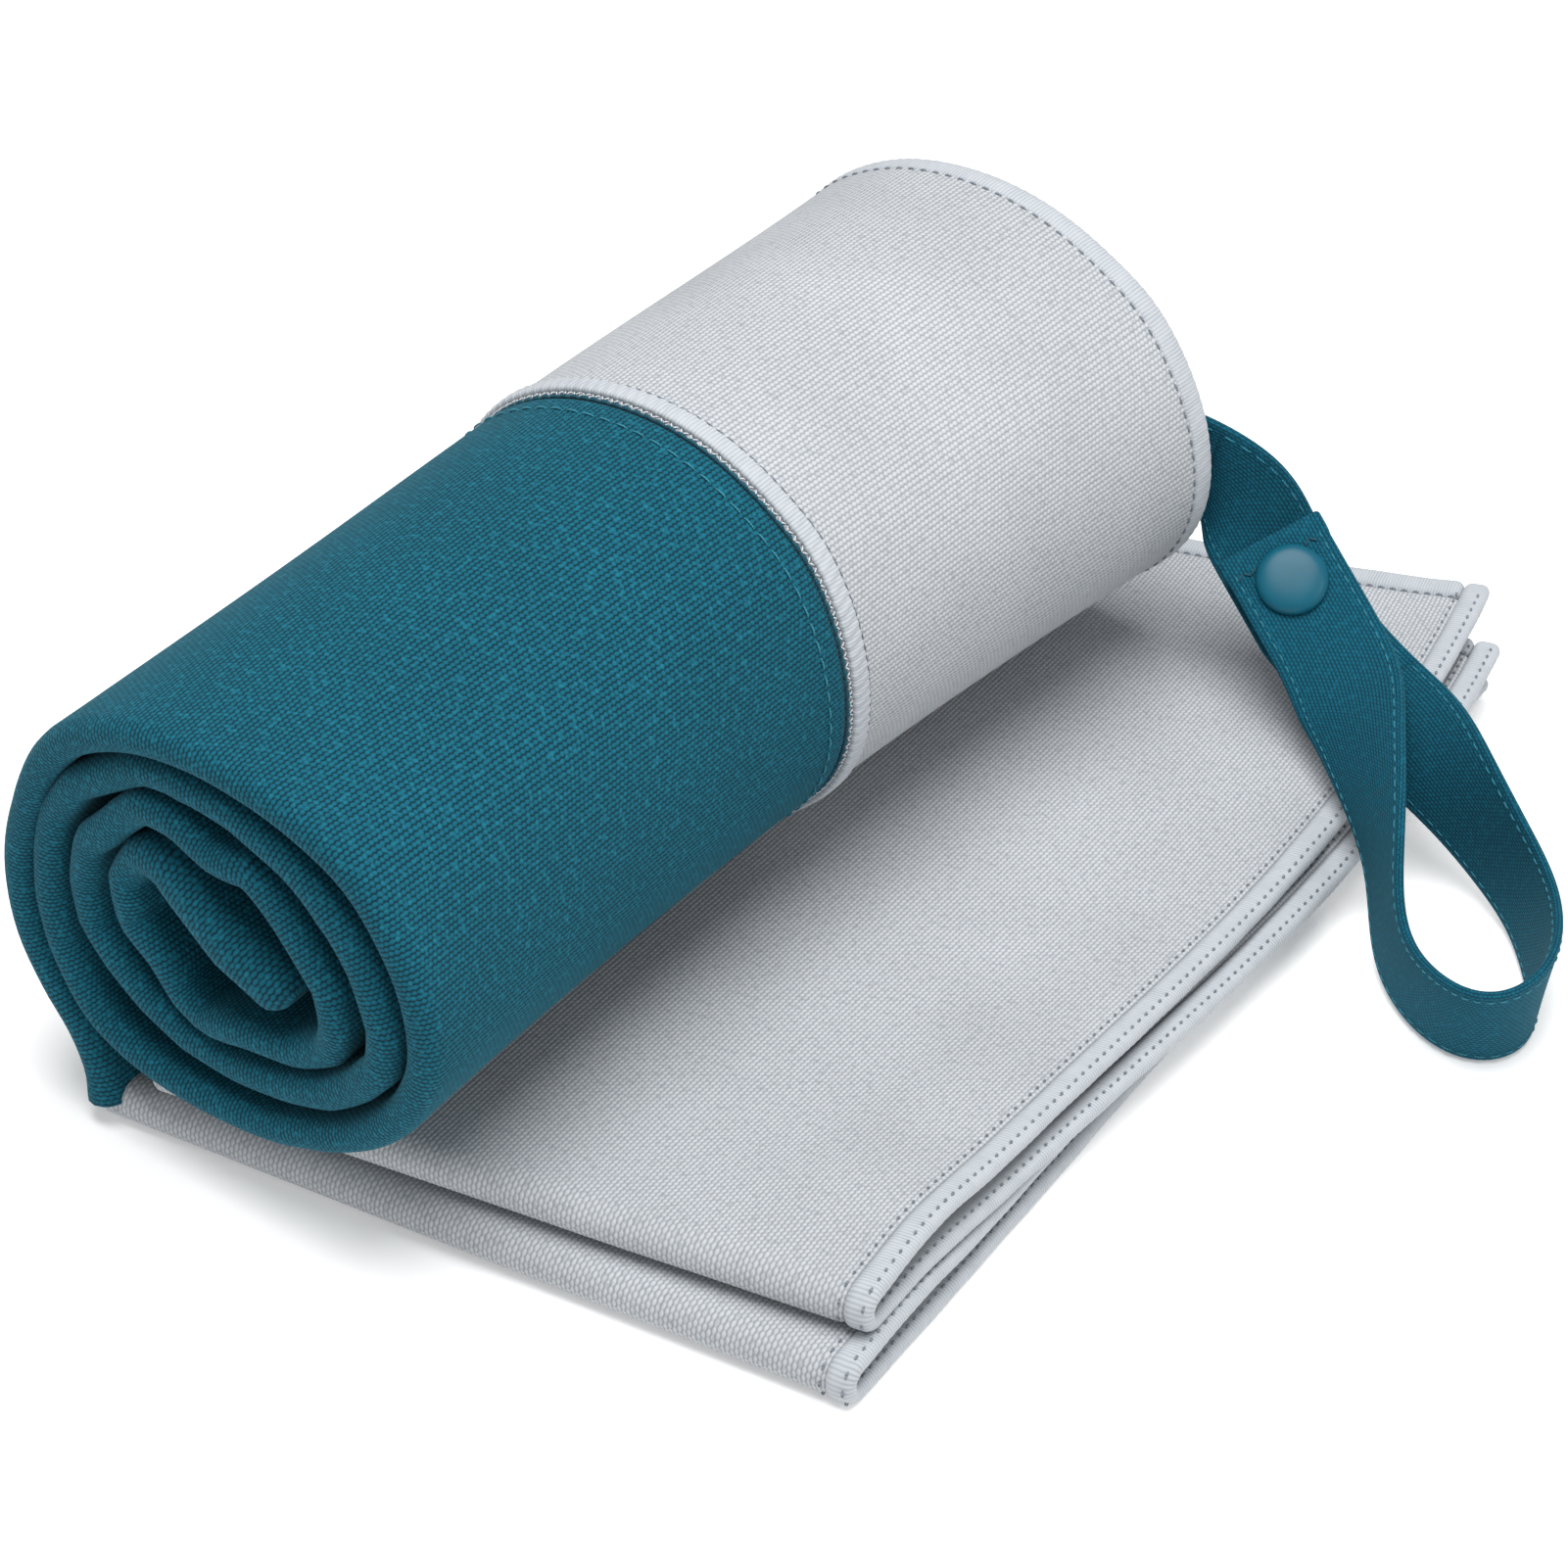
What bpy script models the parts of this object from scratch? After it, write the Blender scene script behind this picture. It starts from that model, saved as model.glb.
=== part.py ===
"""Quick dry towel: a two-tone roll on its folded end, with a hanging strap that snaps shut.

Run with:  blender --background --python part.py
The model is drawn in millimetres and placed in metres, +Z up. The roll lies along +Y with its
teal end at low Y, and the folded end of the towel lies under it and reaches out along +X.
"""
import math

import bmesh
import bpy
from mathutils import Matrix, Vector

MM = 0.001
GAP = 0.3                   # air left between pieces that touch on the real towel
ORIGIN = (40.0, 118.0)      # where the part's origin lies on the drawing's table plane

# The cloth and its hems
CLOTH = 5.4                 # one turn of the roll: the towel doubled over
PLY = 3.0                   # one soft ply of the folded end
PLY_SPACE = 1.8             # air between the two plies of a fold
HEM_WIDTH = 4.8             # overlocked edge
HEM_PROUD = 1.2             # how far the outer overlock stands off the roll

# The roll
ROLL_LENGTH = 190.0
TEAL_LENGTH = 100.0
ROLL_HALF_WIDTH = 42.0      # both of the outer turn where it starts; it winds in from there
ROLL_HALF_HEIGHT = 40.2
ROLL_TURNS = 3.9
ROLL_PITCH = 8.2            # one turn to the next
ROLL_STEP_IN = 0.15         # 0 winds in evenly; more keeps each turn wide over the top
TURN_STEPS = 30             # straight facets in one turn
TAIL_FOOT = (-30.0, 2.0)    # x, z where the outer turn comes down to the table
TAIL_KNEE = (-39.5, 22.0)
TAIL_START = math.radians(186)
TAIL_STEPS = 8

# The folded end
UNDER_PLY_SKEW = 5.0        # the under ply of a fold ends this much farther out at the far corner
PLY_SHARE = 0.4             # of the sheet's run, in each ply; the bend between them has the rest

# The strap, one webbing from the roll's far end round the loop to the snap
STRAP_WIDTH = 19.0
STRAP_THICK = 1.4
ANCHOR_LENGTH = 18.0        # sewn flat against the roll's far end
ANCHOR_INSET = 7.7          # from the roll's side back to where the sewn length ends
ANCHOR_RISE = 37.1          # the sewn length's middle, above the stack
BARTACK = 2.0
BARTACK_THICK = 0.7
LIFT_BEND = 9.3             # from the snap's axis back to where the strap bends up
ROUTE_STEPS = 5             # facets from one place on the route to the next

# The snap: its axis frame is set on the strap's base, and everything stacks up along it
SNAP_OFFSET = (18.7, 4.1, 18.2)     # from the roll's side, its far end and the stack's top
SNAP_AXIS = (0.35, -0.55, 0.76)
SNAP_WIDTHWISE = (0.49, 0.77, 0.37)
SNAP_SEAT = 6.6             # the strap is pressed flat this far to each side of the snap's axis
STRAIGHT = 2.0              # the strap runs straight for twice this much beside a bend
TAB_END = 8.5               # from the snap's axis to the tab's end
TAB_HINGE = 14.0            # from the snap's axis to where the tab bends away
CAP_RADIUS = 6.1
CAP_THICK = 1.7
CAP_CROWN = 1.6             # the cap slopes down this far in from its rim
CAP_DOME = 0.5
BEVEL = 0.3
DISC_RADIUS = 5.3           # stud flange and socket
FLANGE = 0.9
NOSE_RADIUS = 2.0
NOSE_HEIGHT = 1.6
SOCKET_ROOM = 0.7           # sideways room round the nose, so that the tab can swing off
SOCKET_ROOF = 0.7
PIN_RADIUS = 0.8
PIN_ROOM = 0.35
ROUND_STEPS = 32

# Worked out from the sizes above
FOLD_HEIGHT = 2 * PLY + PLY_SPACE
STACK_HEIGHT = 2 * FOLD_HEIGHT + GAP
SPIRAL_STEPS = int(ROLL_TURNS * TURN_STEPS)
FAR_FACE = ROLL_LENGTH + GAP + STRAP_THICK / 2
TAB_HEM = TAB_END - DISC_RADIUS - GAP       # turned-under end of the tab, clear of the socket
STUD_FOOT = STRAP_THICK / 2 + GAP
NOSE_FOOT = STUD_FOOT + FLANGE
NOSE_TOP = NOSE_FOOT + NOSE_HEIGHT
SOCKET_FOOT = NOSE_FOOT + GAP
ROOF_UNDER = NOSE_TOP + GAP
SOCKET_TOP = ROOF_UNDER + SOCKET_ROOF
TAB_MIDDLE = SOCKET_TOP + GAP + STRAP_THICK / 2
CAP_FOOT = TAB_MIDDLE + STRAP_THICK / 2 + GAP

TAIL_SIDE = TAIL_FOOT[0] + CLOTH / 2        # the outer turn's foot, on the side of the stack
SIDE = ROLL_HALF_WIDTH
END = ROLL_LENGTH
TOP = STACK_HEIGHT
ANCHOR_EDGE = (SIDE - ANCHOR_INSET, TOP + ANCHOR_RISE)      # x where the strap swings, and z
SNAP_BASE = (SIDE + SNAP_OFFSET[0], END + SNAP_OFFSET[1], TOP + SNAP_OFFSET[2])

# Corner places of each fold on the table, seen from above, and how far its right-hand edge
# bows outwards between them
UPPER_FOLD = {"near_left": (TAIL_SIDE + 7.3, 3.5), "near_right": (100.0, 30.0),
              "far_right": (75.5, END + 46), "far_left": (TAIL_SIDE - 2.7, END + 6), "bulge": 6.0}
LOWER_FOLD = {"near_left": (TAIL_SIDE + GAP, 1.5), "near_right": (101.0, 25.5),
              "far_right": (83.5, END + 40), "far_left": (TAIL_SIDE + GAP, END), "bulge": 2.5}

# Each place on the strap's route: the middle of its width, and the way its upper edge points.
# Where the strap is held up its height counts from the stack, and where it stands, from the table.
STRAP_NECK = [((SIDE - 1.0, END + 3.0, TOP + 37.4), (0.05, -0.03, 1.0)),
              ((SIDE + 5.5, END + 4.8, TOP + 34.1), (0.42, 0.05, 0.9))]
STRAP_LOOP = [((SIDE + 32.0, END + 1.6, TOP + 9.7), (0.45, 0.80, 0.37)),
              ((SIDE + 38.5, END + 0.8, TOP + 7.3), (0.44, 0.81, 0.37)),
              ((SIDE + 46.5, END - 1.6, TOP + 7.1), (0.50, 0.70, 0.50)),
              ((SIDE + 57.5, END - 6.4, TOP + 5.7), (0.52, 0.30, 0.80)),
              ((SIDE + 64.3, END - 7.6, TOP + 0.7), (0.50, 0.05, 0.86)),
              ((SIDE + 71.8, END - 9.4, 11.8), (0.47, -0.06, 0.88)),
              ((SIDE + 79.3, END - 12.8, 9.2), (0.42, -0.14, 0.90)),
              ((SIDE + 88.3, END - 23.1, 9.4), (0.29, -0.11, 0.95)),
              ((SIDE + 93.2, END - 31.0, 9.5), (0.20, -0.20, 0.96)),
              ((SIDE + 94.3, END - 39.6, 9.5), (0.10, -0.27, 0.96)),
              ((SIDE + 91.5, END - 44.8, 9.5), (0.10, -0.24, 0.97)),
              ((SIDE + 87.0, END - 46.6, 9.5), (0.22, -0.16, 0.96)),
              ((SIDE + 80.5, END - 44.8, 9.2), (0.38, -0.22, 0.90)),
              ((SIDE + 72.1, END - 40.1, 8.4), (0.52, -0.32, 0.79)),
              ((SIDE + 65.8, END - 35.0, 9.6), (0.56, -0.46, 0.69)),
              ((SIDE + 62.2, END - 30.6, TOP - 0.3), (0.55, -0.52, 0.66)),
              ((SIDE + 58.2, END - 27.0, TOP + 6.1), (0.66, -0.40, 0.65)),
              ((SIDE + 50.5, END - 19.6, TOP + 10.3), (0.76, -0.10, 0.65)),
              ((SIDE + 42.8, END - 11.4, TOP + 11.5), (0.76, 0.20, 0.60))]

TEAL = (0.007, 0.157, 0.227, 1.0)
TEAL_DARK = (0.005, 0.115, 0.168, 1.0)
GREY = (0.58, 0.61, 0.65, 1.0)
HEM_GREY = (0.53, 0.58, 0.63, 1.0)
CAP_TEAL = (0.022, 0.175, 0.215, 1.0)


# ---------------------------------------------------------------- scene, materials, placing

def clear_scene():
    for obj in list(bpy.data.objects):
        bpy.data.objects.remove(obj, do_unlink=True)


def collection(name):
    made = bpy.data.collections.new(name)
    bpy.context.scene.collection.children.link(made)
    return made


def material(name, colour, roughness):
    made = bpy.data.materials.new(name)
    made.use_nodes = True
    shader = made.node_tree.nodes["Principled BSDF"]
    shader.inputs["Base Color"].default_value = colour
    shader.inputs["Roughness"].default_value = roughness
    shader.inputs["Metallic"].default_value = 0.0
    return made


def world(point):
    """A drawing point in millimetres as a place in the part's frame, in metres."""
    x, y, z = point
    return Vector(((x - ORIGIN[0]) * MM, (y - ORIGIN[1]) * MM, z * MM))


def joint_empty(name, point):
    empty = bpy.data.objects.new(name, None)
    empty.location = world(point)
    empty.empty_display_size = 8 * MM
    TOWEL.objects.link(empty)
    return empty


def hang_on(obj, parent):
    obj.parent = parent
    obj.matrix_parent_inverse = Matrix.Translation(parent.location).inverted()


def finish(obj, colour):
    obj.data.materials.append(colour)
    obj.data.shade_smooth()
    obj.data.set_sharp_from_angle(angle=math.radians(40))
    return obj


# ---------------------------------------------------------------- cloth

def cloth(name, colour, place, columns, rows, thickness):
    """A sheet laid by place(u, v), both from 0 to 1, and thickened evenly to both sides."""
    bm = bmesh.new()
    bmesh.ops.create_grid(bm, x_segments=columns, y_segments=rows, size=1.0)
    for vertex in bm.verts:
        u = (vertex.co.x + 1) / 2
        v = (vertex.co.y + 1) / 2
        vertex.co = world(place(u, v))
    mesh = bpy.data.meshes.new(name)
    bm.to_mesh(mesh)
    bm.free()
    obj = bpy.data.objects.new(name, mesh)
    TOWEL.objects.link(obj)
    finish(obj, colour)
    solid = obj.modifiers.new("thickness", "SOLIDIFY")
    solid.thickness = thickness * MM
    solid.offset = 0
    solid.use_even_offset = True
    return obj


def stretch_of(place, u_from, u_to, v_from, v_to):
    """The part of a sheet between two shares of its run and two of its width."""
    def part_place(u, v):
        return place(u_from + (u_to - u_from) * u, v_from + (v_to - v_from) * v)
    return part_place


def spline(points, share):
    """A smooth line through points, by share of its steps from 0 to 1."""
    count = len(points) - 1
    along = min(max(share, 0.0), 1.0) * count
    step = min(int(along), count - 1)
    t = along - step
    here = Vector(points[step])
    there = Vector(points[step + 1])
    before = Vector(points[step - 1]) if step > 0 else here * 2 - there
    after = Vector(points[step + 2]) if step + 2 <= count else there * 2 - here
    return (here * 2 + (there - before) * t + (before * 2 - here * 5 + there * 4 - after) * t ** 2
            + (here * 3 - before - there * 3 + after) * t ** 3) / 2


# ---------------------------------------------------------------- the roll

def winding(turn):
    """x, z of the middle of the cloth about the roll's centre, winding inwards over the top."""
    angle = TAIL_START - 2 * math.pi * turn
    wound = turn - ROLL_STEP_IN * (1 - math.cos(2 * math.pi * turn))
    shrink = ROLL_PITCH * wound + CLOTH / 2
    return Vector(((ROLL_HALF_WIDTH - shrink) * math.cos(angle),
                   (ROLL_HALF_HEIGHT - shrink) * math.sin(angle)))


ROLL_LOWEST = min(winding(step / TURN_STEPS).y for step in range(TURN_STEPS)) - CLOTH / 2
ROLL_CENTRE = STACK_HEIGHT + GAP - ROLL_LOWEST


def spiral_point(turn):
    return winding(turn) + Vector((0, ROLL_CENTRE))


def roll_line(step):
    """x, z along the roll's section by step: the tail up from the table, then the spiral."""
    if step >= TAIL_STEPS:
        return spiral_point((step - TAIL_STEPS) / TURN_STEPS)
    share = step / TAIL_STEPS
    foot = Vector(TAIL_FOOT)
    knee = Vector(TAIL_KNEE)
    top = spiral_point(0.0)
    return foot * (1 - share) ** 2 + knee * 2 * share * (1 - share) + top * share ** 2


def rolled(name, colour, y_from, y_to):
    steps = TAIL_STEPS + SPIRAL_STEPS

    def place(u, v):
        x, z = roll_line(round(u * steps))
        return (x, y_from + (y_to - y_from) * v, z)
    return cloth(name, colour, place, steps, 1, CLOTH)


def make_roll():
    teal_end = TEAL_LENGTH
    hem_start = ROLL_LENGTH - HEM_WIDTH
    parts = [rolled("teal_roll", PAINT["teal"], 0.0, teal_end),
             rolled("grey_roll", PAINT["grey"], teal_end + GAP, hem_start - GAP),
             rolled("roll_end_hem", PAINT["hem"], hem_start, ROLL_LENGTH)]

    def band_line(step):
        run = (roll_line(step + 1) - roll_line(step - 1)).normalized()
        lift = CLOTH / 2 + GAP + HEM_PROUD / 2
        return roll_line(step) + Vector((-run.y, run.x)) * lift

    clear = STACK_HEIGHT + 2 * GAP + HEM_PROUD / 2
    wrap_steps = TURN_STEPS // 2
    while band_line(TAIL_STEPS + wrap_steps + 1).y > clear and wrap_steps < TURN_STEPS:
        wrap_steps += 1

    def band_place(u, v):
        x, z = band_line(TAIL_STEPS + round(u * wrap_steps))
        return (x, teal_end + (HEM_WIDTH + HEM_PROUD) * v, z)
    parts.append(cloth("seam_overlock", PAINT["hem"], band_place, wrap_steps, 1, HEM_PROUD))
    return parts


# ---------------------------------------------------------------- the folded end

def fold_place(corners, base):
    """A sheet folded in two at its near edge: v runs from the under ply's far edge round to the
    upper ply's far edge, and u from left to right."""
    bend = (FOLD_HEIGHT - PLY) / 2

    def place(u, v):
        near = Vector(corners["near_left"]).lerp(Vector(corners["near_right"]), u)
        far = Vector(corners["far_left"]).lerp(Vector(corners["far_right"]), u)
        run = (far - near).normalized()
        if PLY_SHARE <= v <= 1 - PLY_SHARE:
            turn = (v - PLY_SHARE) / (1 - 2 * PLY_SHARE) * math.pi
            spot = near + run * bend * (1 - math.sin(turn))
            height = bend - bend * math.cos(turn)
        else:
            under = v < PLY_SHARE
            share = 1 - min(v, 1 - v) / PLY_SHARE
            skew = Vector((UNDER_PLY_SKEW * u, -UNDER_PLY_SKEW * u)) if under else Vector((0, 0))
            bow = 6.75 * share ** 2 * (1 - share)       # 1 at two thirds of the way
            spot = (near + run * bend).lerp(far + skew, share)
            spot.x += corners["bulge"] * u * bow
            height = 0.0 if under else 2 * bend
        return (spot.x, spot.y, base + PLY / 2 + height)
    return place


def make_fold(name, corners, base):
    place = fold_place(corners, base)
    width = (Vector(corners["near_right"]) - Vector(corners["near_left"])).length
    depth = (Vector(corners["far_right"]) - Vector(corners["near_right"])).length
    side = HEM_WIDTH / width
    side_gap = GAP / width
    end = PLY_SHARE * HEM_WIDTH / depth
    end_gap = PLY_SHARE * GAP / depth
    inner_u = 1 - side - side_gap
    parts = [cloth(name, PAINT["grey"], stretch_of(place, 0, inner_u, end + end_gap,
                                                   1 - end - end_gap), 10, 40, PLY),
             cloth(name + "_side_hem", PAINT["hem"], stretch_of(place, 1 - side, 1, 0, 1),
                   1, 40, PLY),
             cloth(name + "_under_end_hem", PAINT["hem"], stretch_of(place, 0, inner_u, 0, end),
                   10, 1, PLY),
             cloth(name + "_top_end_hem", PAINT["hem"], stretch_of(place, 0, inner_u, 1 - end, 1),
                   10, 1, PLY)]
    return parts


# ---------------------------------------------------------------- the strap

def strap_place(route):
    """A ribbon along a route: u runs along it, and v from its lower to its upper edge."""
    middles = [station[0] for station in route]
    uprights = [station[1] for station in route]

    def place(u, v):
        upright = spline(uprights, u).normalized()
        return spline(middles, u) + upright * (v - 0.5) * STRAP_WIDTH
    return place


def snap_frame():
    """The snap's frame at the strap's base: X along the strap, Y across it, Z up its axis."""
    axis = Vector(SNAP_AXIS).normalized()
    across = Vector(SNAP_WIDTHWISE)
    across = (across - axis * across.dot(axis)).normalized()
    along = across.cross(axis)
    turn = Matrix((along, across, axis)).transposed().to_4x4()
    return Matrix.Translation(world(SNAP_BASE)) @ turn


def hole_cutter(name, radius, height, frame):
    bm = bmesh.new()
    bmesh.ops.create_cone(bm, cap_ends=True, segments=ROUND_STEPS, radius1=radius * MM,
                          radius2=radius * MM, depth=height * MM)
    mesh = bpy.data.meshes.new(name)
    bm.to_mesh(mesh)
    bm.free()
    cutter = bpy.data.objects.new(name, mesh)
    cutter.matrix_world = frame
    cutter.hide_render = True
    cutter.display_type = "WIRE"
    CUTTERS.objects.link(cutter)
    return cutter


def cut(obj, cutter):
    boolean = obj.modifiers.new("hole", "BOOLEAN")
    boolean.operation = "DIFFERENCE"
    boolean.solver = "EXACT"
    boolean.object = cutter


def turned(name, colour, profile, frame):
    """A round piece from its outline at +X, listed down its outer side, about its own Z."""
    mesh = bpy.data.meshes.new(name)
    mesh.from_pydata([(x * MM, 0, z * MM) for x, z in profile],
                     [(i, i + 1) for i in range(len(profile) - 1)], [])
    obj = bpy.data.objects.new(name, mesh)
    TOWEL.objects.link(obj)
    obj.matrix_world = frame
    screw = obj.modifiers.new("turn", "SCREW")
    screw.steps = ROUND_STEPS
    screw.render_steps = ROUND_STEPS
    screw.use_merge_vertices = True
    screw.merge_threshold = 0.00001
    obj.data.materials.append(colour)
    return obj


def make_snap(frame):
    hole = PIN_RADIUS + PIN_ROOM
    stud = turned("snap_stud", PAINT["snap"], [
        (0, NOSE_TOP), (NOSE_RADIUS - BEVEL, NOSE_TOP), (NOSE_RADIUS, NOSE_TOP - BEVEL),
        (NOSE_RADIUS, NOSE_FOOT), (DISC_RADIUS, NOSE_FOOT), (DISC_RADIUS, STUD_FOOT),
        (hole, STUD_FOOT), (hole, NOSE_TOP - SOCKET_ROOF), (0, NOSE_TOP - SOCKET_ROOF)], frame)
    back = turned("snap_stud_back", PAINT["snap"], [
        (0, NOSE_TOP - SOCKET_ROOF - GAP), (PIN_RADIUS, NOSE_TOP - SOCKET_ROOF - GAP),
        (PIN_RADIUS, -STUD_FOOT), (CAP_RADIUS, -STUD_FOOT), (CAP_RADIUS, -STUD_FOOT - CAP_DOME),
        (CAP_RADIUS - CAP_DOME, BEVEL - STUD_FOOT - CAP_THICK), (0, -STUD_FOOT - CAP_THICK)], frame)
    room = NOSE_RADIUS + SOCKET_ROOM
    socket = turned("snap_socket", PAINT["snap"], [
        (hole, SOCKET_TOP), (DISC_RADIUS, SOCKET_TOP), (DISC_RADIUS, SOCKET_FOOT),
        (room, SOCKET_FOOT), (room, ROOF_UNDER), (hole, ROOF_UNDER), (hole, SOCKET_TOP)], frame)
    cap = turned("snap_cap", PAINT["snap"], [
        (0, CAP_FOOT + CAP_THICK), (CAP_RADIUS - CAP_CROWN, CAP_FOOT + CAP_THICK - BEVEL / 2),
        (CAP_RADIUS - CAP_DOME, CAP_FOOT + CAP_THICK - CAP_DOME),
        (CAP_RADIUS, CAP_FOOT + CAP_DOME), (CAP_RADIUS - BEVEL, CAP_FOOT), (PIN_RADIUS, CAP_FOOT),
        (PIN_RADIUS, ROOF_UNDER), (0, ROOF_UNDER)], frame)
    return {"stud": stud, "back": back, "socket": socket, "cap": cap}


def flat_spot(frame, along, height):
    """A place on the drawing, so far along the strap from the snap's axis and so high up it."""
    metres = frame @ Vector((along * MM, 0, height * MM))
    return (metres.x / MM + ORIGIN[0], metres.y / MM + ORIGIN[1], metres.z / MM)


def make_strap(frame):
    edge, height = ANCHOR_EDGE

    def anchor_place(u, v):
        return (edge - ANCHOR_LENGTH * (1 - u), FAR_FACE, height + (v - 0.5) * STRAP_WIDTH)
    anchor = cloth("strap_anchor", PAINT["strap"], anchor_place, 4, 2, STRAP_THICK)

    def bartack_place(u, v):
        x = edge - ANCHOR_LENGTH + BARTACK * (u + 0.5)
        z = height + (v - 0.5) * (STRAP_WIDTH - 2 * BARTACK)
        return (x, FAR_FACE + (STRAP_THICK + BARTACK_THICK) / 2 + GAP, z)
    bartack = cloth("anchor_bartack", PAINT["teal"], bartack_place, 1, 6, BARTACK_THICK)

    across = frame.to_3x3() @ Vector((0, 1, 0))
    upright = (0.0, 0.0, 1.0)
    route = [((edge + GAP + along, FAR_FACE, height), upright)
             for along in (0, STRAIGHT / 2, STRAIGHT)]
    route += STRAP_NECK
    bend = LIFT_BEND + GAP / 2
    route += [(flat_spot(frame, -bend - along, 0), across)
              for along in (2 * STRAIGHT, STRAIGHT, 0)]
    steps = (len(route) - 1) * ROUTE_STEPS
    neck = cloth("strap_neck", PAINT["strap"], strap_place(route), steps, 4, STRAP_THICK)

    bend = LIFT_BEND - GAP / 2
    seat = (-bend, -SNAP_SEAT, 0, SNAP_SEAT, SNAP_SEAT + STRAIGHT)
    route = [(flat_spot(frame, along, 0), across) for along in seat]
    route += STRAP_LOOP
    route += [(flat_spot(frame, along, TAB_MIDDLE), across)
              for along in (TAB_HINGE + GAP + 2 * STRAIGHT, TAB_HINGE + GAP + STRAIGHT,
                            TAB_HINGE + GAP)]
    steps = (len(route) - 1) * ROUTE_STEPS
    loop = cloth("strap_loop", PAINT["strap"], strap_place(route), steps, 4, STRAP_THICK)
    cut(loop, hole_cutter("base_hole", PIN_RADIUS + PIN_ROOM, 4 * STRAP_THICK, frame))

    def tab_place(u, v):
        middle = Vector(flat_spot(frame, TAB_HINGE - (TAB_HINGE + TAB_END) * u, TAB_MIDDLE))
        return middle + across * (v - 0.5) * STRAP_WIDTH
    tab = cloth("strap_tab", PAINT["strap"], tab_place, 8, 4, STRAP_THICK)
    lifted = frame @ Matrix.Translation((0, 0, TAB_MIDDLE * MM))
    cut(tab, hole_cutter("tab_hole", PIN_RADIUS + PIN_ROOM, 4 * STRAP_THICK, lifted))

    def hem_place(u, v):
        below = TAB_MIDDLE - STRAP_THICK - GAP
        middle = Vector(flat_spot(frame, TAB_HEM * (1 - u) - TAB_END, below))
        return middle + across * (v - 0.5) * STRAP_WIDTH
    tab_hem = cloth("strap_tab_hem", PAINT["strap"], hem_place, 1, 4, STRAP_THICK)
    return {"anchor": anchor, "bartack": bartack, "neck": neck, "loop": loop,
            "tab": tab, "hem": tab_hem}


def hang_strap(strap, snap, frame):
    """Parent the moving pieces to empties on their joint axes."""
    edge, height = ANCHOR_EDGE
    face = STRAP_THICK / 2
    swing = joint_empty("strap_swing_axis", (edge + GAP / 2, FAR_FACE + face, height))
    lift = joint_empty("strap_lift_axis", flat_spot(frame, -LIFT_BEND, face))
    tab = joint_empty("tab_axis", flat_spot(frame, TAB_HINGE + GAP / 2, TAB_MIDDLE + face))
    hang_on(lift, swing)
    hang_on(tab, lift)
    hang_on(strap["neck"], swing)
    for piece in (strap["loop"], snap["stud"], snap["back"]):
        hang_on(piece, lift)
    for piece in (strap["tab"], strap["hem"], snap["socket"], snap["cap"]):
        hang_on(piece, tab)


clear_scene()
TOWEL = collection("quick_dry_towel")
CUTTERS = collection("cutters")
PAINT = {"teal": material("teal_cloth", TEAL, 0.9), "grey": material("grey_cloth", GREY, 0.92),
         "hem": material("overlock_thread", HEM_GREY, 0.85),
         "strap": material("strap_webbing", TEAL_DARK, 0.85),
         "snap": material("snap_plastic", CAP_TEAL, 0.4)}
make_roll()
make_fold("lower_fold", LOWER_FOLD, 0.0)
make_fold("upper_fold", UPPER_FOLD, FOLD_HEIGHT + GAP)
SNAP_FRAME = snap_frame()
SNAP = make_snap(SNAP_FRAME)
STRAP = make_strap(SNAP_FRAME)
hang_strap(STRAP, SNAP, SNAP_FRAME)
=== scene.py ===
# %% [markdown]
# # A quick-dry towel
# The towel is rolled up on its own folded end, and a short strap with a press snap hangs from the
# roll. The solid frame of the part is loaded first. Every piece made below is drawn round it, in
# millimetres, and most then ride on one of its bodies; a strap piece given two bodies only has its
# transform baked in.
# %% Load the frame
import math

import bmesh
import bpy
import numpy as np
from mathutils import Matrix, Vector


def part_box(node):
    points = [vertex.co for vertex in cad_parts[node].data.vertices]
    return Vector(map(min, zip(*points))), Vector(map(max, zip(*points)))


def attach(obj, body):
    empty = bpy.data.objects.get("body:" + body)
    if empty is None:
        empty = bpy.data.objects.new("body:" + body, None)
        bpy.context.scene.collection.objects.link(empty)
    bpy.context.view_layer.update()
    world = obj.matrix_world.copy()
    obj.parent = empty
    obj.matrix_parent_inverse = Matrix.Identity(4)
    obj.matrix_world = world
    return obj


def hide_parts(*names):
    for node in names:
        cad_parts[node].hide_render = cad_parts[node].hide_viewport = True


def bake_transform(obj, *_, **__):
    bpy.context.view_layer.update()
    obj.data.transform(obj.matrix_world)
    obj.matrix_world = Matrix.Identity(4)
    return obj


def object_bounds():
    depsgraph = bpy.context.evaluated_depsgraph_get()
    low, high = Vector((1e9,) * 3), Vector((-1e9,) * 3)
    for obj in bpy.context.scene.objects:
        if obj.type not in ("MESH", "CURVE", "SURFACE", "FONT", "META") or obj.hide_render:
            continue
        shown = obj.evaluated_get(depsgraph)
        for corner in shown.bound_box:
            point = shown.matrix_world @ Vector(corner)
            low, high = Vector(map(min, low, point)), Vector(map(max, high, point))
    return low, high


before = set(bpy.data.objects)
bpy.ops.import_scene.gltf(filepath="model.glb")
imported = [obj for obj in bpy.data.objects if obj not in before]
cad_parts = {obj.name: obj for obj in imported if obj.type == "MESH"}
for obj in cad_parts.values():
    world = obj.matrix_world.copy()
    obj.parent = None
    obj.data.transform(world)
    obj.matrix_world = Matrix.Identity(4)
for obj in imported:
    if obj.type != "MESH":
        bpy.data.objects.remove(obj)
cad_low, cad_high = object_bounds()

print("frame", [round(side, 4) for side in cad_high - cad_low], "m")

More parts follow.
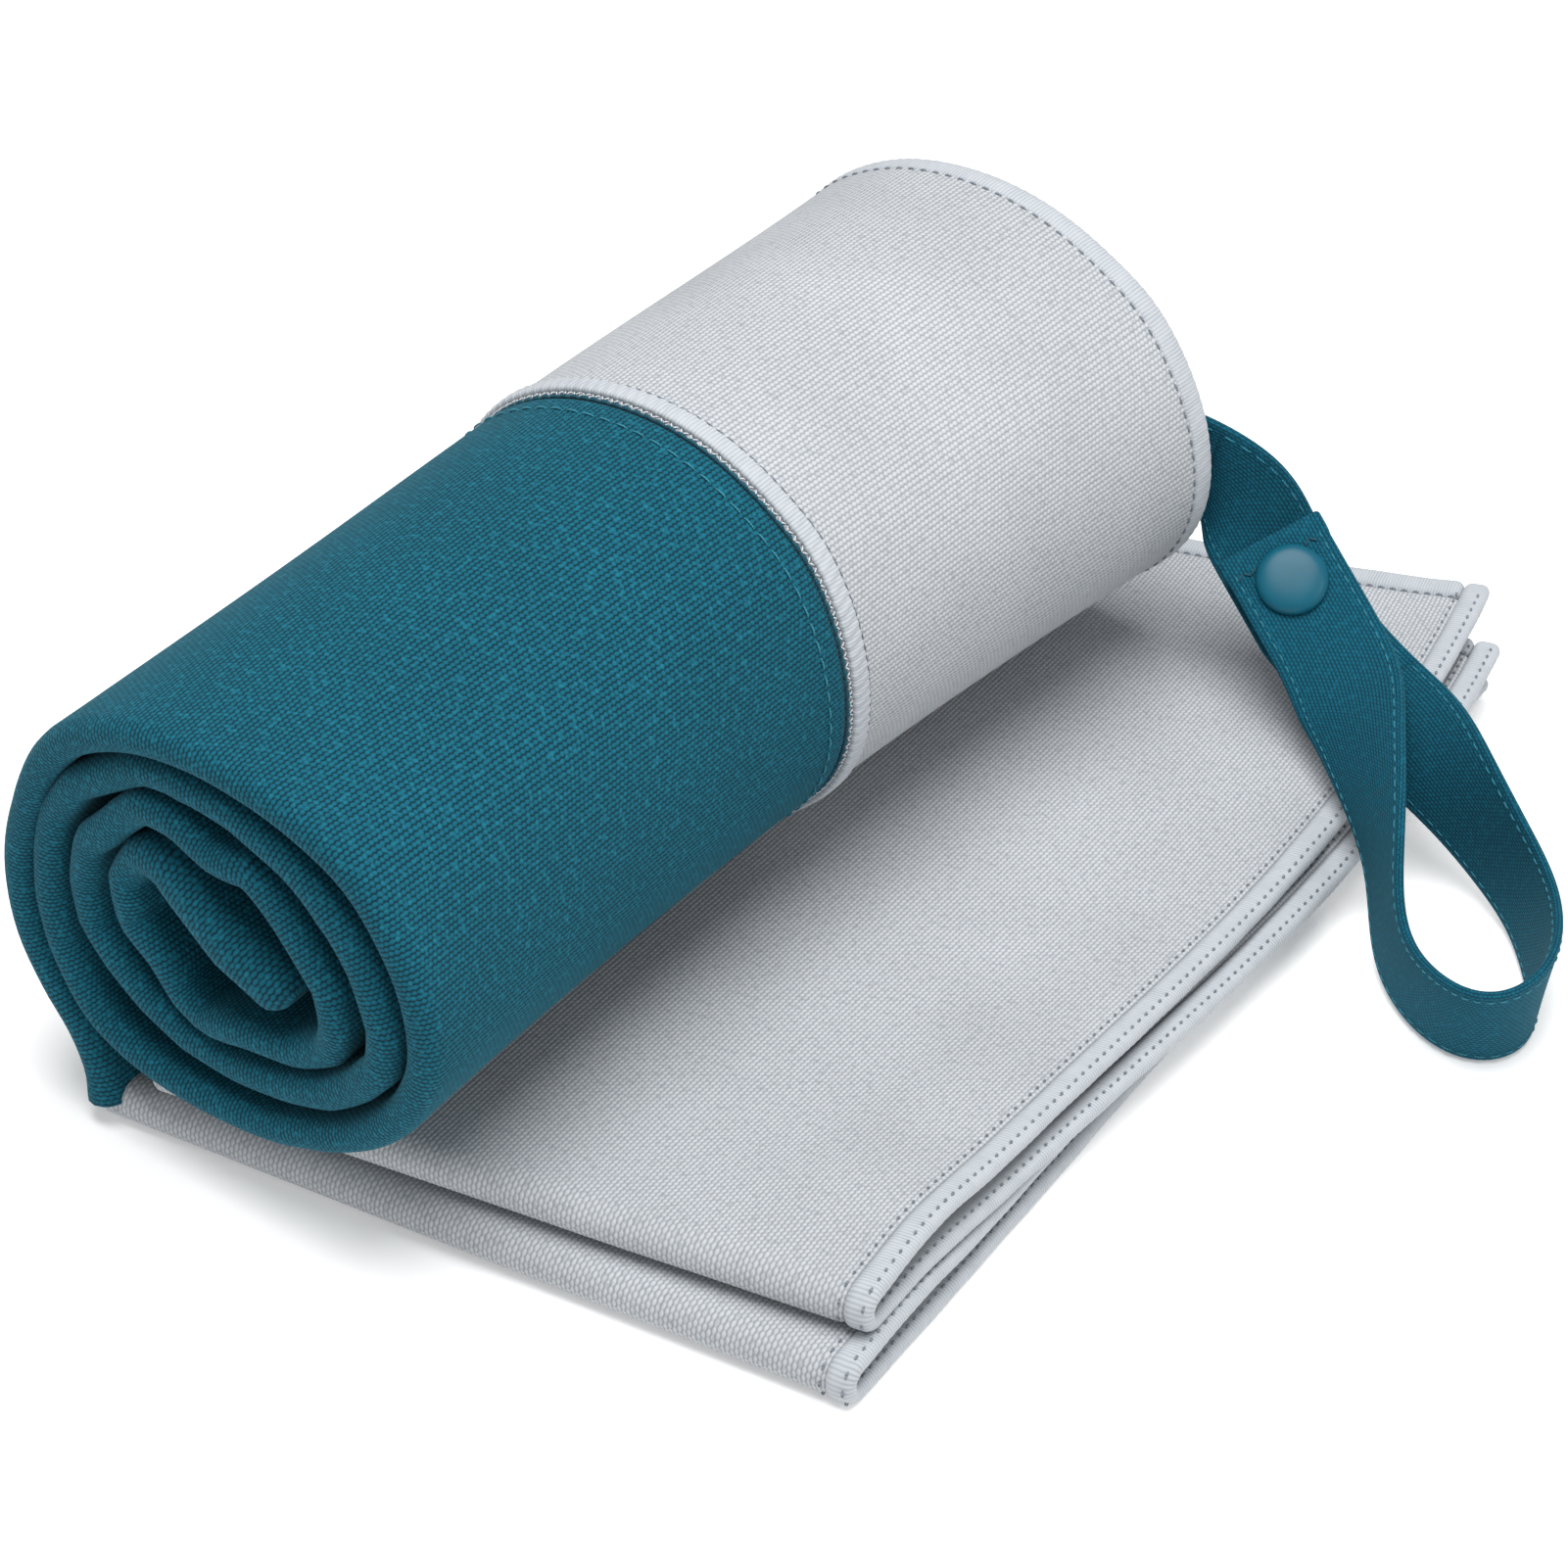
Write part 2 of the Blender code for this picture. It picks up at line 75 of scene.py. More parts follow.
# %% [markdown]
# ## One drawing for everything
# Cloth is easier to think about in millimetres, measured from the roll's near end. One helper
# turns a drawing place into the part's own frame, so that nothing has to be fitted by eye later.
# %% From the drawing to the part
MM = 0.001
ROLL_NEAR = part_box("teal_roll")[0].y
ROLL_LENGTH = (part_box("roll_end_hem")[1].y - ROLL_NEAR) / MM
SIDE_TO_ORIGIN = 40.0       # the drawing's x where the part's own x is 0
SEAM_AT = 100.0             # where the teal meets the grey


def metres(points):
    """Drawing places in millimetres as places in the part, in metres."""
    moved = (np.asarray(points, float) - (SIDE_TO_ORIGIN, 0.0, 0.0)) * MM
    moved[..., 1] += ROLL_NEAR
    return moved


print("roll", round(ROLL_LENGTH, 1), "mm long")

# %% [markdown]
# ## Camera
# A long lens from above one corner keeps the roll's sides nearly parallel, as small goods are
# usually shown. The camera is turned by a direction to look in, which is easier to set and to
# change than three angles.
# %% Camera
SENSOR = 36.0               # mm, as a full-frame camera has
LENS = 107.93               # mm
CAMERA_PLACE = (0.3539, -0.4684, 0.5028)
CAMERA_LOOKS = (-0.4908, 0.6039, -0.6280)
scene = bpy.context.scene
camera_data = bpy.data.cameras.new("camera")
camera_data.sensor_width = SENSOR
camera_data.lens = LENS
camera = bpy.data.objects.new("camera", camera_data)
scene.collection.objects.link(camera)
camera.location = CAMERA_PLACE
camera.rotation_mode = "QUATERNION"
camera.rotation_quaternion = Vector(CAMERA_LOOKS).to_track_quat("-Z", "Y")
scene.camera = camera
scene.view_settings.view_transform = "Standard"
print("camera", round(math.dist(CAMERA_PLACE, (0.0, 0.0, 0.0)), 2), "m from the towel")

# %% [markdown]
# ## Light
# The cloth is matt and pale, so it needs light that models it without hard shadows. One large
# round soft box hangs nearly overhead and gives the roll its bright top and darker sides. A small
# one at the right lifts the strap and the roll's right side, and a bright, even surround fills
# the rest.
# %% Light
SURROUND = 0.46
MIDDLE = (0.0, 0.0, 0.03)   # what both soft boxes are aimed at

world = bpy.data.worlds.new("studio")
scene.world = world
world.use_nodes = True
surround = world.node_tree.nodes["Background"]
surround.inputs["Color"].default_value = (1.0, 1.0, 1.0, 1.0)
surround.inputs["Strength"].default_value = SURROUND


def soft_box(name, place, aim, size, watts):
    """A round area light of this size across, in metres, aimed at a place."""
    data = bpy.data.lights.new(name, "AREA")
    data.shape = "DISK"
    data.size = size
    data.energy = watts
    lamp = bpy.data.objects.new(name, data)
    scene.collection.objects.link(lamp)
    lamp.location = place
    lamp.rotation_mode = "QUATERNION"
    lamp.rotation_quaternion = (Vector(aim) - Vector(place)).to_track_quat("-Z", "Y")
    return lamp


soft_box("key", (0.10, -0.10, 1.10), MIDDLE, size=0.80, watts=13.5)
soft_box("fill", (0.88, 0.10, 0.62), MIDDLE, size=0.40, watts=1.5)
print("two soft boxes and a surround of", SURROUND)

# %% [markdown]
# ## Colours and shader nodes
# Paint and dye colours are usually read off a screen as sRGB hex, while a shader works in linear
# light, so one function turns the first into the second. One more adds a node with its settings
# and its links, which keeps each material's recipe short enough to read.
# %% Colour and node helpers


def linear(text, alpha=1.0):
    """An sRGB hex colour such as "0D5B6F" in linear light."""
    parts = [int(text[i:i + 2], 16) / 255 for i in (0, 2, 4)]
    return tuple(p / 12.92 if p <= 0.04045 else ((p + 0.055) / 1.055) ** 2.4
                 for p in parts) + (alpha,)


def add(tree, kind, sockets=None, **settings):
    """A shader node with its settings. A socket takes a value, the output of another node, or
    a whole node, which stands for its first output."""
    made = tree.nodes.new("ShaderNode" + kind)
    for name, value in settings.items():
        setattr(made, name, value)
    for name, value in (sockets or {}).items():
        if isinstance(value, bpy.types.Node):
            value = value.outputs[0]
        if isinstance(value, bpy.types.NodeSocket):
            tree.links.new(value, made.inputs[name])
        else:
            made.inputs[name].default_value = value
    return made


def new_material(name, **values):
    """A material with its Principled shader's own sockets set; returns both and the node tree."""
    made = bpy.data.materials.new(name)
    made.use_nodes = True
    tree = made.node_tree
    shader = tree.nodes["Principled BSDF"]
    for socket, value in values.items():
        shader.inputs[socket.replace("_", " ")].default_value = value
    return made, tree, shader


# A Mix node that mixes colours takes them in these sockets and gives the result in this one
SHARE, FIRST, SECOND, MIXED = 0, 6, 7, 2
print("a teal dye in linear light", [round(c, 3) for c in linear("0D5B6F")[:3]])

# %% [markdown]
# ## Woven microfibre
# The towel is a thin polyester microfibre, woven in fine rows of small raised beads, with each row
# set half a bead along from the last. It is matt, with a faint soft sheen where it turns away from
# the eye. The rows are 0.8 mm apart and the beads 0.92 mm along them, which is just coarse enough
# to show, so they are drawn from those sizes with two cosines. The same height gives the bump and a
# darker colour in the hollows, which is painted shade. The pattern follows a coordinate laid on the
# cloth itself, so it turns with every wrap.
# %% Woven microfibre
WEAVE = "weave"             # the cloth's own coordinate on each piece: across and along, metres

# Random spots to a metre of cloth
WANDER_SPOTS = 260.0        # about 4 mm: rows of weave wander a little
FLECK_SPOTS = 900.0         # about 1 mm: single pale or dark threads
CLOUD_SPOTS = 38.0          # about 26 mm: the dye is a little uneven
FUZZ_SPOTS = 2600.0         # about 0.4 mm: loose fibre on the beads
# How much of the height comes from whole rows and how much from single beads
ROW_SHARE = 0.24
BEAD_SHARE = 0.26


def weave_height(tree, row_gap, bead_gap, wander):
    """0 in the hollows between beads to 1 on their tops; the gaps are in millimetres."""
    laid = add(tree, "Attribute", attribute_name=WEAVE).outputs["Vector"]
    drift = add(tree, "TexNoise", {"Vector": laid, "Scale": WANDER_SPOTS, "Detail": 1.0})
    centred = add(tree, "VectorMath", {0: drift.outputs["Color"], 1: (0.5, 0.5, 0.5)},
                  operation="SUBTRACT")
    pushed = add(tree, "VectorMath", {0: centred, "Scale": wander * MM}, operation="SCALE")
    place = add(tree, "VectorMath", {0: laid, 1: pushed}, operation="ADD")
    axes = add(tree, "SeparateXYZ", {0: place})
    row_turn = add(tree, "Math", {0: axes.outputs[0], 1: math.pi / (row_gap * MM)},
                   operation="MULTIPLY")
    bead_turn = add(tree, "Math", {0: axes.outputs[1], 1: 2 * math.pi / (bead_gap * MM)},
                    operation="MULTIPLY")
    row_wave = add(tree, "Math", {0: row_turn}, operation="COSINE")
    bead_wave = add(tree, "Math", {0: bead_turn}, operation="COSINE")
    beads = add(tree, "Math", {0: row_wave, 1: bead_wave}, operation="MULTIPLY")
    twice = add(tree, "Math", {0: row_turn, 1: 2.0}, operation="MULTIPLY")
    rows = add(tree, "Math", {0: twice}, operation="COSINE")
    both = add(tree, "Math", {0: rows, 1: ROW_SHARE, 2: 0.5}, operation="MULTIPLY_ADD")
    height = add(tree, "Math", {0: beads, 1: BEAD_SHARE, 2: both}, operation="MULTIPLY_ADD")
    return height, laid


def microfibre(name, light, dark, fleck, flecks, sheen="FFFFFF", row_gap=0.80, bead_gap=0.92,
               relief=0.16):
    """A woven cloth: light on the beads, a dark colour between them that is painted shade, and a
    share of flecks.
    """
    made, tree, shader = new_material(name, Roughness=0.92, IOR=1.45, Sheen_Weight=0.1,
                                      Sheen_Roughness=0.45, Sheen_Tint=linear(sheen),
                                      Specular_IOR_Level=0.22)
    height, laid = weave_height(tree, row_gap, bead_gap, wander=0.22)
    # Hollows get the dark colour, painted shade, over a narrow band, and the beads' tops are even
    lit = add(tree, "MapRange", {"Value": height, "From Min": 0.12, "From Max": 0.70},
              interpolation_type="SMOOTHSTEP")
    woven = add(tree, "Mix", {SHARE: lit, FIRST: linear(dark), SECOND: linear(light)},
                data_type="RGBA").outputs[MIXED]
    speck = add(tree, "TexNoise", {"Vector": laid, "Scale": FLECK_SPOTS, "Detail": 2.0})
    speck = add(tree, "MapRange", {"Value": speck, "From Min": 0.52, "From Max": 0.70,
                                   "To Max": flecks})
    woven = add(tree, "Mix", {SHARE: speck, FIRST: woven, SECOND: linear(fleck)},
                data_type="RGBA").outputs[MIXED]
    cloud = add(tree, "TexNoise", {"Vector": laid, "Scale": CLOUD_SPOTS, "Detail": 3.0})
    shade = add(tree, "MapRange", {"Value": cloud, "From Min": 0.3, "From Max": 0.7,
                                   "To Min": 0.93, "To Max": 1.04})
    shaded = add(tree, "VectorMath", {0: woven, "Scale": shade}, operation="SCALE")
    tree.links.new(shaded.outputs[0], shader.inputs["Base Color"])
    fuzz = add(tree, "TexNoise", {"Vector": laid, "Scale": FUZZ_SPOTS, "Detail": 1.0})
    raised = add(tree, "Math", {0: fuzz, 1: 0.25, 2: height}, operation="MULTIPLY_ADD")
    bump = add(tree, "Bump", {"Height": raised, "Strength": 0.8, "Distance": relief * MM})
    tree.links.new(bump.outputs[0], shader.inputs["Normal"])
    return made


TEAL_SHEEN = "7FD0E0"
# Each cloth's second colour is the painted shade in the hollows of its weave.
TEAL_CLOTH = microfibre("teal_woven_microfibre", "0D5B6F", "021E28", "2388A0", flecks=0.3,
                        sheen=TEAL_SHEEN)
GREY_CLOTH = microfibre("grey_woven_microfibre", "BEC1C4", "8B9096", "80868D", flecks=0.4)
# The strap is the same cloth woven finer and flatter, as a tape is
STRAP_CLOTH = microfibre("teal_woven_tape", "0B566B", "042936", "17708A", flecks=0.25,
                         sheen=TEAL_SHEEN, row_gap=0.62, bead_gap=0.8, relief=0.10)
print("woven cloths made")

# %% [markdown]
# ## Overlock and sewing thread
# An overlocked edge is a zigzag of fluffy polyester thread packed side by side round the cloth's
# edge. It looks like a soft, slightly bluish band with fine ribs across it. The big ribs are real
# shape on each hem. The fine filaments between them come from a wave along the band. Topstitching
# is the same thread, twisted tight, so it gets a finer twist and a little gloss.
# %% Thread


WAVE_GAP = 0.314            # metres between a wave texture's bands at scale 1
MOTTLE_SPOTS = 300.0        # to a metre: about 3 mm, where the thread lies looser or tighter


def thread(name, colour, shadow, rib_gap, relief, roughness):
    """A sewing thread with filaments this far apart, in millimetres."""
    made, tree, shader = new_material(name, Roughness=roughness, IOR=1.5, Sheen_Weight=0.15,
                                      Sheen_Roughness=0.4, Specular_IOR_Level=0.3)
    laid = add(tree, "Attribute", attribute_name=WEAVE).outputs["Vector"]
    filament = add(tree, "TexWave", {"Vector": laid, "Scale": WAVE_GAP / (rib_gap * MM),
                                     "Distortion": 1.2, "Detail": 1.0, "Detail Scale": 0.6},
                   wave_type="BANDS", bands_direction="X", wave_profile="SIN").outputs["Fac"]
    mottle = add(tree, "TexNoise", {"Vector": laid, "Scale": MOTTLE_SPOTS, "Detail": 2.0})
    half = add(tree, "Math", {0: filament, 1: 0.5}, operation="MULTIPLY")
    depth = add(tree, "Math", {0: mottle, 1: 0.5, 2: half}, operation="MULTIPLY_ADD")
    depth = add(tree, "MapRange", {"Value": depth, "From Min": 0.15, "From Max": 0.6})
    spun = add(tree, "Mix", {SHARE: depth, FIRST: linear(shadow), SECOND: linear(colour)},
               data_type="RGBA")
    tree.links.new(spun.outputs[MIXED], shader.inputs["Base Color"])
    bump = add(tree, "Bump", {"Height": filament, "Strength": 0.6, "Distance": relief * MM})
    tree.links.new(bump.outputs[0], shader.inputs["Normal"])
    return made


OVERLOCK = thread("overlocked_polyester_thread", "B6BBC0", "9BA1A7", 0.55, 0.04, 0.85)
# This grey thread is painted darker than the pale one, for the shade in the needle holes beside the
# hems.
SHADED_GREY_STITCH = thread("shadowed_grey_sewing_thread", "838B94", "565E67", 0.4, 0.05, 0.8)
PALE_STITCH = thread("pale_grey_sewing_thread", "E3E7EA", "A9B0B7", 0.4, 0.05, 0.75)
TEAL_STITCH = thread("teal_sewing_thread", "2C8396", "115769", 0.4, 0.05, 0.6)
# This dark teal sews the tab's zigzag, and is also laid in the seam's groove as painted shade.
DEEP_STITCH_AND_GROOVE_SHADE = thread("dark_teal_thread_and_groove_shade", "0D4F60", "042A36", 0.4, 0.05, 0.6)
print("threads made")

# %% [markdown]
# ## Moulded acetal
# The press snap is injection-moulded acetal. It has a satin surface with a soft highlight, a very
# slight orange-peel from the mould, and no sharp edges. The stud, its back and the socket are seen
# only when the tab opens, so their solids are shown as they are, in the same plastic.
# %% Moulded acetal
POOL_SPOTS = 220.0          # to a metre: the dye is a little uneven over about 5 mm
PEEL_SPOTS = 1400.0         # to a metre: the mould's orange peel, about 0.7 mm
PEEL_DEEP = 0.02            # mm
SNAP_PLASTIC, tree, shader = new_material("moulded_acetal", Roughness=0.36, IOR=1.46,
                                          Specular_IOR_Level=0.28)
spot = add(tree, "TexCoord").outputs["Object"]
pool = add(tree, "TexNoise", {"Vector": spot, "Scale": POOL_SPOTS, "Detail": 2.0})
dyed = add(tree, "Mix", {SHARE: pool, FIRST: linear("0B5064"), SECOND: linear("105A6E")},
           data_type="RGBA")
tree.links.new(dyed.outputs[MIXED], shader.inputs["Base Color"])
peel = add(tree, "TexNoise", {"Vector": spot, "Scale": PEEL_SPOTS, "Detail": 1.0})
bump = add(tree, "Bump", {"Height": peel, "Strength": 0.25, "Distance": PEEL_DEEP * MM})
tree.links.new(bump.outputs[0], shader.inputs["Normal"])
for node in ("snap_stud", "snap_stud_back", "snap_socket"):
    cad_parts[node].data.materials.clear()
    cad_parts[node].data.materials.append(SNAP_PLASTIC)
print("snap plastic made")

# %% [markdown]
# ## Floor
# A pale, matt studio board. It isn't part of the towel. It glows a little, as a board lit from
# below does, so the towel's shadow on it stays faint.
# %% Floor
FLOOR_GLOW = 0.22
FLOOR_HALF = 3.0            # metres from its middle to its edge
FLOOR_BELOW = 0.0002        # metres under the lowest solid, so the two never share a face
FLOOR_BOARD, tree, shader = new_material("matt_studio_board", Roughness=0.9,
                                         Emission_Color=(1.0, 1.0, 1.0, 1.0),
                                         Emission_Strength=FLOOR_GLOW)
grain = add(tree, "TexNoise", {"Scale": 30.0, "Detail": 2.0})
board = add(tree, "Mix", {SHARE: grain, FIRST: linear("F4F4F3"), SECOND: linear("F8F8F8")},
            data_type="RGBA")
tree.links.new(board.outputs[MIXED], shader.inputs["Base Color"])
floor_mesh = bpy.data.meshes.new("floor")
floor_shape = bmesh.new()
bmesh.ops.create_grid(floor_shape, x_segments=1, y_segments=1, size=FLOOR_HALF)
floor_shape.to_mesh(floor_mesh)
floor_shape.free()
floor = bpy.data.objects.new("floor", floor_mesh)
scene.collection.objects.link(floor)
floor.location.z = cad_low.z - FLOOR_BELOW
floor_mesh.materials.append(FLOOR_BOARD)
print("floor at", round(floor.location.z / MM, 2), "mm")

# %% [markdown]
# ## Smooth lines
# Most of the towel is a sheet led along a line: the roll's winding, or the strap's route. A line
# here is drawn through a few given points with a Catmull-Rom curve, and is then read by its real
# length, because weave, stitches and hems are spaced along the cloth and not along the curve.
# %% A line read by its length


class Line:
    """A smooth line through points of any number of dimensions, read by length in mm. The length
    counts only the first three."""

    def __init__(self, points, steps=40, crisp=None):
        """crisp says for each span how far it is pulled straight, from 0 to 1."""
        points = np.asarray(points, float)
        crisp = np.zeros(len(points) - 1) if crisp is None else crisp
        padded = np.vstack([2 * points[0] - points[1], points, 2 * points[-1] - points[-2]])
        t = np.linspace(0, 1, steps, endpoint=False)[:, None]
        spans = []
        for a, b, c, d, pull in zip(padded, padded[1:], padded[2:], padded[3:], crisp):
            curved = (2 * b + (c - a) * t + (2 * a - 5 * b + 4 * c - d) * t ** 2
                      + (3 * b - a - 3 * c + d) * t ** 3) / 2
            spans.append(curved * (1 - pull) + (b + (c - b) * t) * pull)
        self.dense = np.vstack(spans + [points[-1:]])
        hops = np.linalg.norm(np.diff(self.dense[:, :3], axis=0), axis=1)
        self.reach = np.concatenate([[0], np.cumsum(hops)])
        self.length = self.reach[-1]

    def at(self, run):
        """The places at these lengths; past an end the line goes straight on."""
        inside = np.clip(run, 0, self.length)
        place = np.stack([np.interp(inside, self.reach, part) for part in self.dense.T], -1)
        first = (self.dense[1] - self.dense[0]) / (self.reach[1] - self.reach[0])
        last = (self.dense[-1] - self.dense[-2]) / (self.reach[-1] - self.reach[-2])
        past = (run - inside)[..., None]
        return place + np.where(past < 0, first, last) * past

    def nearest(self, point):
        """The length at which the line passes closest to a point."""
        gaps = np.linalg.norm(self.dense[:, :3] - np.asarray(point, float), axis=1)
        return float(self.reach[gaps.argmin()])


print("3 by 4 mm is", round(Line([(0, 0, 0), (3, 4, 0)]).length, 6), "mm along the line")

# %% [markdown]
# ## Surfaces and pieces
# A cloth's middle surface is any function of two lengths in millimetres, run and mark. Which way
# it faces is measured rather than worked out, so that any bent shape will do. Read backwards, the
# same surface faces the other way, which is how a stitch finds the cloth's other side.
# %% Which way a surface faces, and a piece of mesh
STEP = 0.6                  # mm, for measuring which way a surface faces


def facing(place, run, mark):
    along = place(run + STEP, mark) - place(run - STEP, mark)
    across = place(run, mark + STEP) - place(run, mark - STEP)
    normal = np.cross(along, across)
    return normal / np.linalg.norm(normal, axis=-1, keepdims=True)


def turned_over(place):
    """The same surface with its run counted backwards, so that it faces the other way."""
    def turned(run, mark):
        return place(-run, mark)
    return turned


def fuller(place, out):
    """The same surface, moved out to the side it faces."""
    def moved(run, mark):
        return place(run, mark) + facing(place, run, mark) * out
    return moved


def skin_faces(shape):
    """Point numbers laid out in this shape, with faces between neighbouring rings of points. The
    last axis goes all the way round a ring."""
    index = np.arange(math.prod(shape)).reshape(shape)
    ahead = np.roll(index, -1, axis=-1)
    faces = np.stack([index[..., :-1, :], index[..., 1:, :],
                      ahead[..., 1:, :], ahead[..., :-1, :]], -1)
    return index, faces.reshape(-1, 4).tolist()


def piece(name, points, faces, laid, material, flat_faces=0):
    """A mesh piece from drawing points, with the cloth's own coordinate laid on it. The last
    flat_faces faces are cut ends, and are kept flat so that they don't shade their neighbours."""
    mesh = bpy.data.meshes.new(name)
    mesh.from_pydata(metres(points), [], faces)
    mesh.attributes.new(WEAVE, "FLOAT_VECTOR", "POINT").data.foreach_set(
        "vector", (np.asarray(laid, float) * MM).astype(np.float32).ravel())
    tidy = bmesh.new()
    tidy.from_mesh(mesh)
    bmesh.ops.recalc_face_normals(tidy, faces=tidy.faces)
    tidy.to_mesh(mesh)
    tidy.free()
    mesh.shade_smooth()
    for face in list(mesh.polygons)[len(faces) - flat_faces:]:
        face.use_smooth = False
    mesh.materials.append(material)
    made = bpy.data.objects.new(name, mesh)
    scene.collection.objects.link(made)
    return made


print("surfaces are measured over", 2 * STEP, "mm")

# %% [markdown]
# ## Rounded edges
# A real hem or folded edge is round, and a sharp one gives a model away at once. So the edges and
# the ends of a sheet are half circles. Each is drawn with a few steps, closest together where the
# curve turns away from the eye.
# %% Half circles round the edges of a sheet
RIM_TURNS = (0.35, 0.72, 1.1, math.pi / 2)      # radians from the face to the middle of the edge
LAST_TURN = 1.45            # an end stops just short of its middle, so it keeps a little thickness


def edge_steps(low, high, count, inset, rounded):
    """Steps from low to high, and at a rounded end the extra steps round it, with how much of
    the thickness is left at each."""
    start, stop = low + inset * rounded[0], high - inset * rounded[1]
    steps = np.linspace(start, stop, count)
    keep = np.ones(count)
    for end, base, way in ((0, start, -1), (1, stop, 1)):
        if rounded[end]:
            turns = np.array(RIM_TURNS[:-1] + (LAST_TURN,))
            extra, left = base + way * inset * np.sin(turns), np.cos(turns)
            if end:
                steps, keep = np.append(steps, extra), np.append(keep, left)
            else:
                steps, keep = np.append(extra[::-1], steps), np.append(left[::-1], keep)
    return steps, keep


def rim(place, middle, normal, size, runs, mark, way, half):
    """Points of a half circle round one long edge, and the cloth's own coordinate on them."""
    out = place(runs, np.full(len(runs), mark + STEP))
    out = out - place(runs, np.full(len(runs), mark - STEP))
    out = way * out / np.linalg.norm(out, axis=-1, keepdims=True)
    turns = list(RIM_TURNS) + [math.pi - turn for turn in RIM_TURNS[-2::-1]]
    if way < 0:
        turns = turns[::-1]
    points, laid = [], []
    for turn in turns:
        rise = normal * math.cos(turn) + out * math.sin(turn)
        points.append(middle + rise * size[:, None])
        edge = mark + way * half * min(turn, math.pi - turn)
        laid.append(np.stack([runs, np.full(len(runs), edge)], -1))
    return np.stack(points, 1), np.stack(laid, 1)


def cut_ends(index, across):
    """Faces that close a sheet's first and last rings: a strip between the cloth's two sides,
    and a half round at each edge."""
    around = 2 * len(RIM_TURNS) - 1
    faces = []
    for ring in (index[0].tolist(), index[-1].tolist()):
        for near in range(across - 1):
            far = 2 * across + around - 1 - near
            faces.append([ring[near], ring[near + 1], ring[far - 1], ring[far]])
        faces.append(ring[across - 1:across + around + 1])
        faces.append(ring[2 * across + around - 1:] + ring[:1])
    return faces


print("an edge is drawn with", 2 * len(RIM_TURNS) - 1, "steps round it")

# %% [markdown]
# ## A closed sheet
# Cloth has two sides and a thickness that changes at a hem. A flat sheet with a Solidify modifier
# would be quicker, but its edges would be square and its thickness even. Here the middle surface is
# pushed out to both sides along its normal, and the half circles join the sides into one skin.
# %% Making a sheet


def even(thick):
    """One thickness all over, as a function of run and mark like the others."""
    return lambda run, mark: np.full(run.shape, thick)


def cloth(name, material, place, run_span, mark_span, thick, run_gap=2.2, mark_gap=2.5,
          rounded=(True, True), rows_along_run=False):
    """A closed sheet over a span of run and a span of mark. thick gives millimetres from run and
    mark. rounded says which ends of the run are rounded off rather than cut."""
    centre = np.array([np.mean(run_span)]), np.array([np.mean(mark_span)])
    half = float(thick(*centre)[0]) / 2
    count = max(3, int((run_span[1] - run_span[0]) / run_gap) + 1)
    runs, keep = edge_steps(*run_span, count, half, rounded)
    across = max(3, int((mark_span[1] - mark_span[0]) / mark_gap) + 1)
    marks = np.linspace(mark_span[0] + half, mark_span[1] - half, across)
    run, mark = np.meshgrid(runs, marks, indexing="ij")
    middle = place(run, mark)
    normal = facing(place, run, mark)
    size = thick(run, mark) / 2 * keep[:, None]
    top, bottom = middle + normal * size[..., None], middle - normal * size[..., None]
    flat = np.stack([run, mark], -1)
    far_rim, far_laid = rim(place, middle[:, -1], normal[:, -1], size[:, -1], runs, marks[-1],
                            1, half)
    near_rim, near_laid = rim(place, middle[:, 0], normal[:, 0], size[:, 0], runs, marks[0],
                              -1, half)
    points = np.concatenate([top, far_rim, bottom[:, ::-1], near_rim], 1)
    laid = np.concatenate([flat, far_laid, flat[:, ::-1], near_laid], 1).reshape(-1, 2)
    index, faces = skin_faces(points.shape[:2])
    ends = cut_ends(index, across)
    if rows_along_run:
        laid = laid[:, ::-1]
    laid = np.hstack([laid, np.zeros((len(laid), 1))])
    return piece(name, points.reshape(-1, 3), faces + ends, laid, material,
                 flat_faces=len(ends))


# %% [markdown]
# ## Stitches
# A topstitch is a short loop of thread that dives into the cloth at both ends. Each one is made as
# a small bent bead, thickest in its middle, and a whole row is one mesh. A lean turns the
# stitches across the seam, which is all that a zigzag needs.
# %% Making a row of stitches
SECTION_SIDES = 6
SECTIONS = np.array([-1.0, -0.75, -0.3, 0.3, 0.75, 1.0])[None, :]   # shares of half a stitch
STITCH_RISE = 0.35          # a share of the stitch's width
STITCH_DIVE = 0.8           # how far below that its ends are, also a share of its width
END_THIN = 0.92             # 1 would draw the ends out to a point


def row(start, stop, gap):
    return np.arange(start, stop, gap)


def stitches(name, material, place, runs, marks, lift, long, fat, lean=0.0):
    """A row of stitches at these runs and marks. lift is the height of the cloth's face over its
    middle; long and fat are the stitch's length and width; lean turns it, in radians."""
    runs, marks = np.broadcast_arrays(np.asarray(runs, float), np.asarray(marks, float))
    lean = np.broadcast_to(lean, runs.shape)
    run = runs[:, None] + SECTIONS * np.cos(lean)[:, None] * long / 2
    mark = marks[:, None] + SECTIONS * np.sin(lean)[:, None] * long / 2
    normal = facing(place, run, mark)
    rise = lift + fat * (STITCH_RISE - STITCH_DIVE * SECTIONS ** 4)
    middle = place(run, mark) + normal * rise[..., None]
    way = np.gradient(middle, axis=1)
    way /= np.linalg.norm(way, axis=-1, keepdims=True)
    beside = np.cross(way, normal)
    radius = (fat / 2 * np.sqrt(1 - (END_THIN * SECTIONS) ** 2))[..., None]
    turns = np.linspace(0, 2 * math.pi, SECTION_SIDES, endpoint=False)
    rings = np.stack([middle + radius * (beside * math.cos(a) + normal * math.sin(a))
                      for a in turns], 2)
    index, faces = skin_faces(rings.shape[:3])
    faces += index[:, 0].tolist() + index[:, -1].tolist()
    laid = np.stack(np.broadcast_arrays((SECTIONS * long / 2 + runs[:, None])[..., None],
                                        turns * fat, 0.0), -1)
    return piece(name, rings.reshape(-1, 3), faces, laid.reshape(-1, 3), material)


print("a stitch has", SECTIONS.size, "sections of", SECTION_SIDES, "points")
